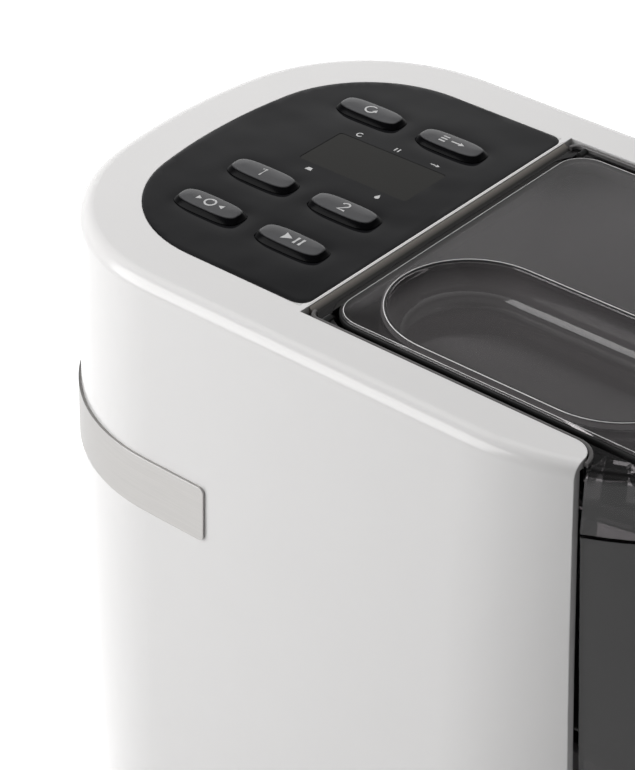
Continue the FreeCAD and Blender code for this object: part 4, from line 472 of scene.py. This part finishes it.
def panel_height(x, y):
    """The glossy sheet sinks slightly round each button, and is never quite flat."""
    z = DECK + PANEL_LIP + RIPPLE * math.sin(x / 9.0 + 1.3) * math.sin(y / 12.0 + 0.4)
    for bx, by in BUTTONS.values():
        away = math.hypot(max(abs(x - bx) - 10, 0), max(abs(y - by) - 2.5, 0))
        z -= SINK * math.exp(-(away / SINK_REACH) ** 2)
    return z


def make_panel():
    shell = Shell()
    top = panel_outline(PANEL_MARGIN + PANEL_EDGE, PANEL_FRONT - PANEL_EDGE, PANEL_CORNER - PANEL_EDGE)
    holes = [pillow(spot, -BUTTON_GAP) for spot in BUTTONS.values()]
    holes.append(box_outline(WINDOW, WINDOW_SIZE, 1.5))
    rounded = []
    for step in range(5):
        angle = math.radians(90 * step / 4)
        off = PANEL_EDGE * (1 - math.sin(angle))
        drop = PANEL_EDGE * 0.5 * (1 - math.cos(angle))
        outline = panel_outline(PANEL_MARGIN + off, PANEL_FRONT - off, PANEL_CORNER - off)
        rounded.append([(x, y, panel_height(x, y) * (1 - step / 4) + (DECK + PANEL_LIP) * step / 4 - drop)
                        for x, y in outline])
    shell.flat(top, holes, panel_height, PANEL_GRID)
    lip_low = [(x, y, SEAT_TOP) for x, y, z in rounded[-1]]
    seat = panel_outline(PANEL_MARGIN + 0.1, SEAT_FRONT - 0.1, PANEL_CORNER - 0.1)
    low = DECK - PANEL_THICK
    shell.loft([*rounded, lip_low, at_height(seat, SEAT_TOP), at_height(seat, low)])
    shell.flat(seat, holes, low)
    for hole in holes:
        shell.loft([[(x, y, panel_height(x, y)) for x, y in hole], at_height(hole, low)])
    panel = shell.piece("control_panel_sheet", "base", "panel_black")
    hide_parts("control_panel")


def make_corner_fills():
    """White corners of the panel's seat, flush with the deck, outside the panel's round corners."""
    for name, side in (("near", -1), ("far", 1)):
        shell = Shell()
        half = HALF_WIDTH - PANEL_MARGIN
        curve = arc(SEAT_FRONT - PANEL_CORNER, half - PANEL_CORNER, PANEL_CORNER + 0.12, 0, 90, 8)
        outline = [*curve, (SEAT_FRONT, half)]
        outline = [(min(x, SEAT_FRONT), side * min(y, half)) for x, y in outline]
        shell.flat(outline, (), DECK)
        shell.flat(outline, (), DECK - PANEL_THICK)
        shell.loft([at_height(outline, DECK), at_height(outline, DECK - PANEL_THICK)])
        shell.piece("deck_corner_" + name, "base", "white_gloss")


# Buttons and their printed signs

BUTTON_LOW = DECK - PANEL_THICK - 0.8
PRINT_PROUD = 0.06
PRINT_DEEP = 0.12
PRINT_GRID = 0.6


def dome(share):
    """Height of a button's top; share runs from 0 at the edge to 1 at the middle."""
    inset = min(share, 1) * BUTTON_WIDE / 2
    if inset < BUTTON_SIDE:
        return DECK + BUTTON_FOOT + (BUTTON_CREASE - BUTTON_FOOT) * (inset / BUTTON_SIDE) ** 0.85
    left = (BUTTON_WIDE / 2 - inset) / (BUTTON_WIDE / 2 - BUTTON_SIDE)
    return DECK + BUTTON_CREASE + (BUTTON_TOP - DECK - BUTTON_CREASE) * (1 - left ** 2)


def make_button(name, centre):
    shell = Shell()
    rows = [at_height(pillow(centre, 0), BUTTON_LOW)]
    for inset in BUTTON_ROWS:
        rows.append(at_height(pillow(centre, inset), dome(inset / (BUTTON_WIDE / 2))))
    shell.loft(rows)
    shell.cap(rows[0])
    shell.cap(rows[-1])
    cap = shell.piece(name.replace("_button", "_button_cap"), name, "button_black")
    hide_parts(name)


def button_height(x, y):
    """Height of a button's top at a point measured from the button's centre."""
    best = 0.0
    for step in range(1, 33):
        inset = (BUTTON_WIDE / 2) * step / 33
        wide = BUTTON_WIDE / 2 - inset
        long = BUTTON_LONG / 2 - inset
        if (abs(x) / long) ** BUTTON_POWER + (abs(y) / wide) ** BUTTON_POWER <= 1:
            best = step / 33
    return dome(best)


def print_sign(name, body, centre, shapes, height):
    """White print: thin solids that follow the surface under them."""
    shell = Shell()
    for outer, *holes in shapes:
        def top(x, y):
            return height(x, y) + PRINT_PROUD

        def bottom(x, y):
            return height(x, y) - PRINT_DEEP
        shift = [[(x + centre[0], y + centre[1]) for x, y in loop] for loop in (outer, *holes)]
        for face in (top, bottom):
            shell.flat(shift[0], shift[1:], lambda x, y: face(x - centre[0], y - centre[1]), PRINT_GRID)
        for loop, moved in zip((outer, *holes), shift):
            shell.loft([[(mx, my, face(x, y)) for (x, y), (mx, my) in zip(loop, moved)]
                        for face in (top, bottom)])
    shell.piece(name, body, "button_black", PRINT, 60)


def stroke(points, width):
    """Outline of a line of this width through the points, with square ends."""
    left, right = [], []
    for i, (x, y) in enumerate(points):
        ax, ay = points[max(i - 1, 0)]
        bx, by = points[min(i + 1, len(points) - 1)]
        length = math.hypot(bx - ax, by - ay)
        nx, ny = -(by - ay) / length * width / 2, (bx - ax) / length * width / 2
        left.append((x + nx, y + ny))
        right.append((x - nx, y - ny))
    return left + right[::-1]


def bar(x, y, long, high):
    return [(x - long / 2, y - high / 2), (x + long / 2, y - high / 2), (x + long / 2, y + high / 2),
            (x - long / 2, y + high / 2)]


def triangle(x, y, size, turn=0.0):
    return arc(x, y, size, turn, turn + 240, 2)


SIGN_SCALE = 1.3
LINE = 0.55
SIGNS = {
    "tare_button": [[arc(0, 0, 1.9, 0, 348, 29), arc(0, 0, 1.35, 0, 348, 29)], [triangle(-4.2, 0, 1.1)],
                    [triangle(4.2, 0, 1.1, 180)]],
    "start_button": [[triangle(-1.9, 0, 2.0)], [bar(1.5, 0, 0.8, 3.2)], [bar(3.3, 0, 0.8, 3.2)]],
    "programme_a_button": [[stroke([(-1.0, 1.2), (0.1, 1.9), (0.1, -2.0)], LINE)]],
    "programme_b_button": [[stroke([*arc(0, 0.75, 1.15, 170, -35, 12), (-1.1, -1.9), (1.4, -1.9)], LINE)]],
    "knead_button": [[stroke(arc(0, 0, 1.8, 60, 340, 22), LINE)], [triangle(1.75, -0.35, 0.95, 80)]],
    "extrude_button": [[bar(-2.6, 0, 2.2, LINE)], [bar(-2.6, 1.3, 2.2, LINE)], [bar(-2.6, -1.3, 2.2, LINE)],
                       [stroke([(0, 0), (3.0, 0)], LINE)], [triangle(3.4, 0, 1.1)]],
}
DROP = [*arc(0, -0.25, 0.75, 150, 390, 12), (0, 1.35)]
CAPTIONS = {
    "caption_knead": ((-96, 29.3), [[stroke(arc(0, 0, 0.95, 60, 340, 16), 0.4)]]),
    "caption_rest": ((-78, 29.3), [[bar(-0.6, 0, 0.45, 1.8)], [bar(0.6, 0, 0.45, 1.8)]]),
    "caption_extrude": ((-60, 29.3), [[bar(-0.9, 0, 1.8, 0.4)], [triangle(0.6, 0, 0.8)]]),
    "caption_weight": ((-94, -3.0), [[[(-1.1, -0.9), (1.1, -0.9), (0.7, 0.6), (-0.7, 0.6)]]]),
    "caption_water": ((-62, -3.0), [[DROP]]),
}


def grown(shapes, factor):
    return [[[(x * factor, y * factor) for x, y in loop] for loop in loops] for loops in shapes]


def make_signs():
    for name, shapes in SIGNS.items():
        sign = name.replace("_button", "_sign")
        print_sign(sign, name, BUTTONS[name], grown(shapes, SIGN_SCALE), button_height)
    for name, (spot, shapes) in CAPTIONS.items():
        print_sign(name, "base", spot, grown(shapes, SIGN_SCALE),
                   lambda x, y, spot=spot: panel_height(x + spot[0], y + spot[1]))


# Lid and the collar's beads, strip and corners round it

LID_TOP = 299.5
LID_LOW = 296.5
LID_HALF = 74
LID_NOSE = 91
LID_CORNER = (-15.5, -62)
LID_CORNER_RADIUS = 12
TROUGH_FRONT = 65
TROUGH_REAR = 9
TROUGH_SIDE = -39
TROUGH_RADIUS = 30
TROUGH_LIP = [(2.1, 0), (1.8, 0.05), (1.5, 0.2), (1.1, 0.32), (0.7, 0.3), (0.35, 0.1), (0.12, -0.3),
              (0, -0.9)]
TROUGH_FLOOR = 283.5
TROUGH_WALL = 2.0
TROUGH_BEND = 7
LID_SEAL = [(0.02, 296.6), (0.5, 296.6), (0.7, 296.8), (0.7, 298.5), (0.5, 298.8), (0.02, 298.8)]
HINGE = (-26.0, 297.9)
PIN_ROWS = ((1.3, 73.6), (1.3, 78.1), (1.0, 78.4))
DECK_CORNER = (79, -88)
DECK_CORNER_RADIUS = 8
COLLAR_TOP = 297.95
COLLAR_STEP = 292.4
FILL_FRONT = 90.2
FILL_SIDE = -79.7
BEAD_TOP = 299.5
BEAD_SECTION = [(0.45, COLLAR_TOP), (0.45, BEAD_TOP - 0.4), (0.6, BEAD_TOP - 0.1), (0.85, BEAD_TOP),
                (1.6, BEAD_TOP), (1.85, BEAD_TOP - 0.1), (2.0, BEAD_TOP - 0.4), (2.0, COLLAR_TOP)]
STRIP_SECTION = [(STRIP_REAR, 296), (STRIP_REAR, 300.03), (-34.3, 299.9), (-33, 299), (-31.5, 298.2),
                 (-30, 297.6), (STRIP_FRONT, 297.2), (STRIP_FRONT, 296)]
STRIP_STOPS = (-75.5, -50, -25, 0, 25, 50, 75.5)


def lid_outline(grow):
    """Rear near corner, near side, round front, far side, rear far corner."""
    half = LID_HALF + grow
    nose = LID_NOSE + grow
    angle = math.degrees(math.asin(half / nose))
    near = arc(*LID_CORNER, LID_CORNER_RADIUS + grow, 180, 270, 10) + [(20, -half), (60, -half)]
    front = arc(NOSE_X, 0, nose, -angle, angle, 48)
    return near + front + [(x, -y) for x, y in reversed(near)]


def racetrack(grow):
    """Outline of the trough's mouth."""
    radius = TROUGH_RADIUS + grow
    return (arc(TROUGH_FRONT, TROUGH_SIDE, radius, -90, 90, 36)
            + arc(TROUGH_REAR, TROUGH_SIDE, radius, 90, 270, 36))


# The pale rings are painted highlights; the black ring is painted shade
# Outline, how far outside it, height above the lid's top, radius and material
LID_RINGS = {
    "trough_rim_painted_highlight": (racetrack, 1.2, 0.28, 0.19, PAINTED_EDGE_HIGHLIGHT),
    "trough_rim_painted_shade": (racetrack, 0.55, 0.12, 0.24, PAINTED_SHADE_BLACK),
    "lid_edge_painted_highlight": (lid_outline, -0.75, -0.05, 0.14, PAINTED_EDGE_HIGHLIGHT),
}


def quarter(outline, start, radius, z, steps=5, hollow=False):
    """Rows that turn from level to upright, or for a hollow from upright to level."""
    rows = []
    for step in range(steps + 1):
        angle = math.radians(90 * step / steps)
        if hollow:
            rows.append(at_height(outline(start - radius * (1 - math.cos(angle))),
                                  z + radius * (1 - math.sin(angle))))
        else:
            rows.append(at_height(outline(start + radius * math.sin(angle)),
                                  z - radius * (1 - math.cos(angle))))
    return rows


def make_ring(name, outline, grow, z, radius, material):
    """Thin ring along an edge of the lid: pale for a painted highlight on a crest, black for painted shade
    beside it.
    """
    shell = Shell()
    rows = [at_height(outline(grow + across), z + rise) for across, rise in arc(0, 0, radius, 0, 315, 7)]
    shell.loft([*rows, rows[0]])
    shell.piece(name, "lid", "smoked_plastic", material, 80)


def make_lid():
    shell = Shell()
    shell.flat(lid_outline(-1), [racetrack(2.1)], LID_TOP)
    edge = quarter(lid_outline, -1, 1, LID_TOP)
    under = at_height(lid_outline(-0.4), LID_LOW)
    shell.loft([*edge, at_height(lid_outline(0), LID_LOW + 0.4), under])
    mouth = [at_height(racetrack(grow), LID_TOP + rise) for grow, rise in TROUGH_LIP]
    floor = quarter(racetrack, -0.6, TROUGH_BEND, TROUGH_FLOOR, 8, True)
    shell.loft([*mouth, *floor])
    shell.cap(floor[-1])
    outer = quarter(racetrack, TROUGH_WALL, TROUGH_BEND + 1.5, TROUGH_FLOOR - TROUGH_WALL, 8, True)
    shell.loft([at_height(racetrack(TROUGH_WALL), LID_LOW), *outer])
    shell.cap(outer[-1])
    shell.flat(lid_outline(-0.4), [racetrack(TROUGH_WALL)], LID_LOW)
    lid = shell.piece("lid_shell", "lid", "smoked_plastic", LID_SMOKE)
    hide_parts("lid")
    for name, (outline, grow, rise, radius, material) in LID_RINGS.items():
        make_ring(name, outline, grow, LID_TOP + rise, radius, material)
    seal = Shell()
    rows = [at_height(lid_outline(grow), z) for grow, z in LID_SEAL]
    seal.loft([*rows, rows[0]])
    # The seal is drawn in painted-shade black so the gap round the lid reads dark
    seal.piece("lid_edge_seal", "lid", "seal_rubber", PAINTED_SHADE_BLACK)
    for name, side in (("near", -1), ("far", 1)):
        pin = Shell()
        rows = [[(HINGE[0] + x, side * y, HINGE[1] + z) for x, z in arc(0, 0, radius, 0, 345, 23)]
                for radius, y in PIN_ROWS]
        pin.loft(rows)
        pin.cap(rows[0])
        pin.cap(rows[-1])
        # The hinge pins are drawn in the same painted-shade black
        pin.piece("hinge_pin_" + name, "lid", "smoked_plastic", PAINTED_SHADE_BLACK)


def bead_path(off):
    """Just inside the deck's opening: round near front corner, near side, rear, far side."""
    near = arc(*DECK_CORNER, DECK_CORNER_RADIUS + off, 0, 90, 10) + [(60, off - 80), (20, off - 80)]
    return near + arc(-27.6, -75.1, 4.9 - off, 270, 180, 8)


def make_beads():
    """Upstands along the near and far edges of the smoked collar."""
    for name, side in (("near", 1), ("far", -1)):
        shell = Shell()
        rows = [[(x, side * y, z) for x, y in bead_path(off)] for off, z in BEAD_SECTION]
        shell.loft([*rows, rows[0]], closed=False)
        for end in (0, -1):
            shell.cap([row[end] for row in rows])
        shell.piece("collar_bead_" + name, "base", "smoked_plastic", BEAD_GREY)


def make_rear_strip():
    """Sloped strip of the collar between the panel's web and the lid."""
    shell = Shell()
    rows = [[(x, y, z) for x, z in STRIP_SECTION] for y in STRIP_STOPS]
    shell.loft(rows)
    shell.cap(rows[0])
    shell.cap(rows[-1])
    # The strip's colour is painted shade, pale by the web and dark by the lid
    shell.piece("collar_rear_strip", "base", "smoked_plastic", STRIP_PAINTED_SHADE)


def make_notch_fills():
    """The collar's corners beside the deck's round front corners."""
    for name, side in (("near", -1), ("far", 1)):
        shell = Shell()
        outline = [*arc(*DECK_CORNER, DECK_CORNER_RADIUS + 0.45, 0, 90, 10), (DECK_CORNER[0], FILL_SIDE),
                   (FILL_FRONT, FILL_SIDE), (FILL_FRONT, DECK_CORNER[1])]
        outline = [(x, -side * y) for x, y in outline]
        for z in (COLLAR_TOP, COLLAR_STEP):
            shell.flat(outline, (), z)
        shell.loft([at_height(outline, COLLAR_TOP), at_height(outline, COLLAR_STEP)])
        shell.piece("collar_corner_" + name, "base", "smoked_plastic")


# Studio

FLOOR_WHITE = (0.6, 0.6, 0.6)
FLOOR_GLOW = 0.8
FLOOR_REACH = 4.0


def any_ray(tree, *kinds):
    """1 for light paths of any of these kinds."""
    path = tree.nodes.new("ShaderNodeLightPath")
    socket = path.outputs[kinds[0]]
    for kind in kinds[1:]:
        either = tree.nodes.new("ShaderNodeMath")
        either.operation = "MAXIMUM"
        tree.links.new(socket, either.inputs[0])
        tree.links.new(path.outputs[kind], either.inputs[1])
        socket = either.outputs[0]
    return socket


def make_floor():
    """Pale floor under the feet, 4 m to each side, white for the camera and in reflections."""
    mesh = bpy.data.meshes.new("floor")
    floor_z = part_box("rubber_feet")[0].z
    corners = [(x * FLOOR_REACH, y * FLOOR_REACH, floor_z) for x, y in ((-1, -1), (1, -1), (1, 1), (-1, 1))]
    mesh.from_pydata(corners, [], [(0, 1, 2, 3)])
    floor = bpy.data.objects.new("floor", mesh)
    scene.collection.objects.link(floor)
    material, tree, shader = new_material("floor_white", FLOOR_WHITE, 0.7)
    glow = tree.nodes.new("ShaderNodeEmission")
    glow.inputs["Strength"].default_value = FLOOR_GLOW
    add = tree.nodes.new("ShaderNodeAddShader")
    pick = tree.nodes.new("ShaderNodeMixShader")
    output = tree.nodes["Material Output"]
    tree.links.new(shader.outputs["BSDF"], add.inputs[0])
    tree.links.new(glow.outputs["Emission"], add.inputs[1])
    shown = any_ray(tree, "Is Camera Ray", "Is Glossy Ray", "Is Transmission Ray")
    tree.links.new(shown, pick.inputs["Fac"])
    tree.links.new(shader.outputs["BSDF"], pick.inputs[1])
    tree.links.new(add.outputs["Shader"], pick.inputs[2])
    tree.links.new(pick.outputs["Shader"], output.inputs["Surface"])
    mesh.materials.append(material)


WORLD_SOFT = 0.1
SKY = [(0.0, 1.0), (0.2, 0.85), (0.44, 0.42), (0.6, 0.12), (0.74, 0.3), (0.9, 0.3), (1.0, 0.1)]


def make_world():
    """White for the camera; mirrors and clear parts see SKY, white low down; a dim light otherwise."""
    world = bpy.data.worlds.new("studio")
    world.use_nodes = True
    tree = world.node_tree
    soft = tree.nodes["Background"]
    soft.inputs["Color"].default_value = (1, 1, 1, 1)
    soft.inputs["Strength"].default_value = WORLD_SOFT
    ramp = tree.nodes.new("ShaderNodeValToRGB")
    tree.links.new(axis_of(tree, "ShaderNodeTexCoord", "Generated", "Z"), ramp.inputs["Fac"])
    while len(ramp.color_ramp.elements) < len(SKY):
        ramp.color_ramp.elements.new(0.5)
    for element, (height, grey) in zip(ramp.color_ramp.elements, SKY):
        element.position = height
        element.color = (grey, grey, grey, 1)
    seen = tree.nodes.new("ShaderNodeBackground")
    tree.links.new(ramp.outputs["Color"], seen.inputs["Color"])
    white = tree.nodes.new("ShaderNodeBackground")
    white.inputs["Color"].default_value = (1, 1, 1, 1)
    path = tree.nodes.new("ShaderNodeLightPath")
    mirror = tree.nodes.new("ShaderNodeMixShader")
    direct = tree.nodes.new("ShaderNodeMixShader")
    tree.links.new(any_ray(tree, "Is Glossy Ray", "Is Transmission Ray"), mirror.inputs["Fac"])
    tree.links.new(soft.outputs["Background"], mirror.inputs[1])
    tree.links.new(seen.outputs["Background"], mirror.inputs[2])
    tree.links.new(path.outputs["Is Camera Ray"], direct.inputs["Fac"])
    tree.links.new(mirror.outputs["Shader"], direct.inputs[1])
    tree.links.new(white.outputs["Background"], direct.inputs[2])
    tree.links.new(direct.outputs["Shader"], tree.nodes["World Output"].inputs["Surface"])
    scene.world = world


def make_softbox(name, place, aim, width, height, power, mirrored=True):
    data = bpy.data.lights.new(name, "AREA")
    data.shape = "RECTANGLE"
    data.size = width
    data.size_y = height
    data.energy = power
    lamp = bpy.data.objects.new(name, data)
    lamp.visible_glossy = mirrored
    lamp.location = place
    lamp.rotation_euler = (Vector(aim) - Vector(place)).to_track_quat("-Z", "Y").to_euler()
    scene.collection.objects.link(lamp)


def light_studio():
    make_softbox("key", (-0.66, -0.88, 0.62), (-0.05, -0.08, 0.2), 1.0, 1.0, 10.7)
    make_softbox("top", (-0.38, 0.36, 1.15), (-0.03, 0, 0.3), 0.8, 0.8, 8, mirrored=False)


finish_cad_nodes()
make_panel()
make_corner_fills()
for button, spot in BUTTONS.items():
    make_button(button, spot)
make_signs()
make_lid()
make_beads()
make_rear_strip()
make_notch_fills()
make_camera()
make_world()
light_studio()
make_floor()

scene.view_settings.view_transform = "Standard"
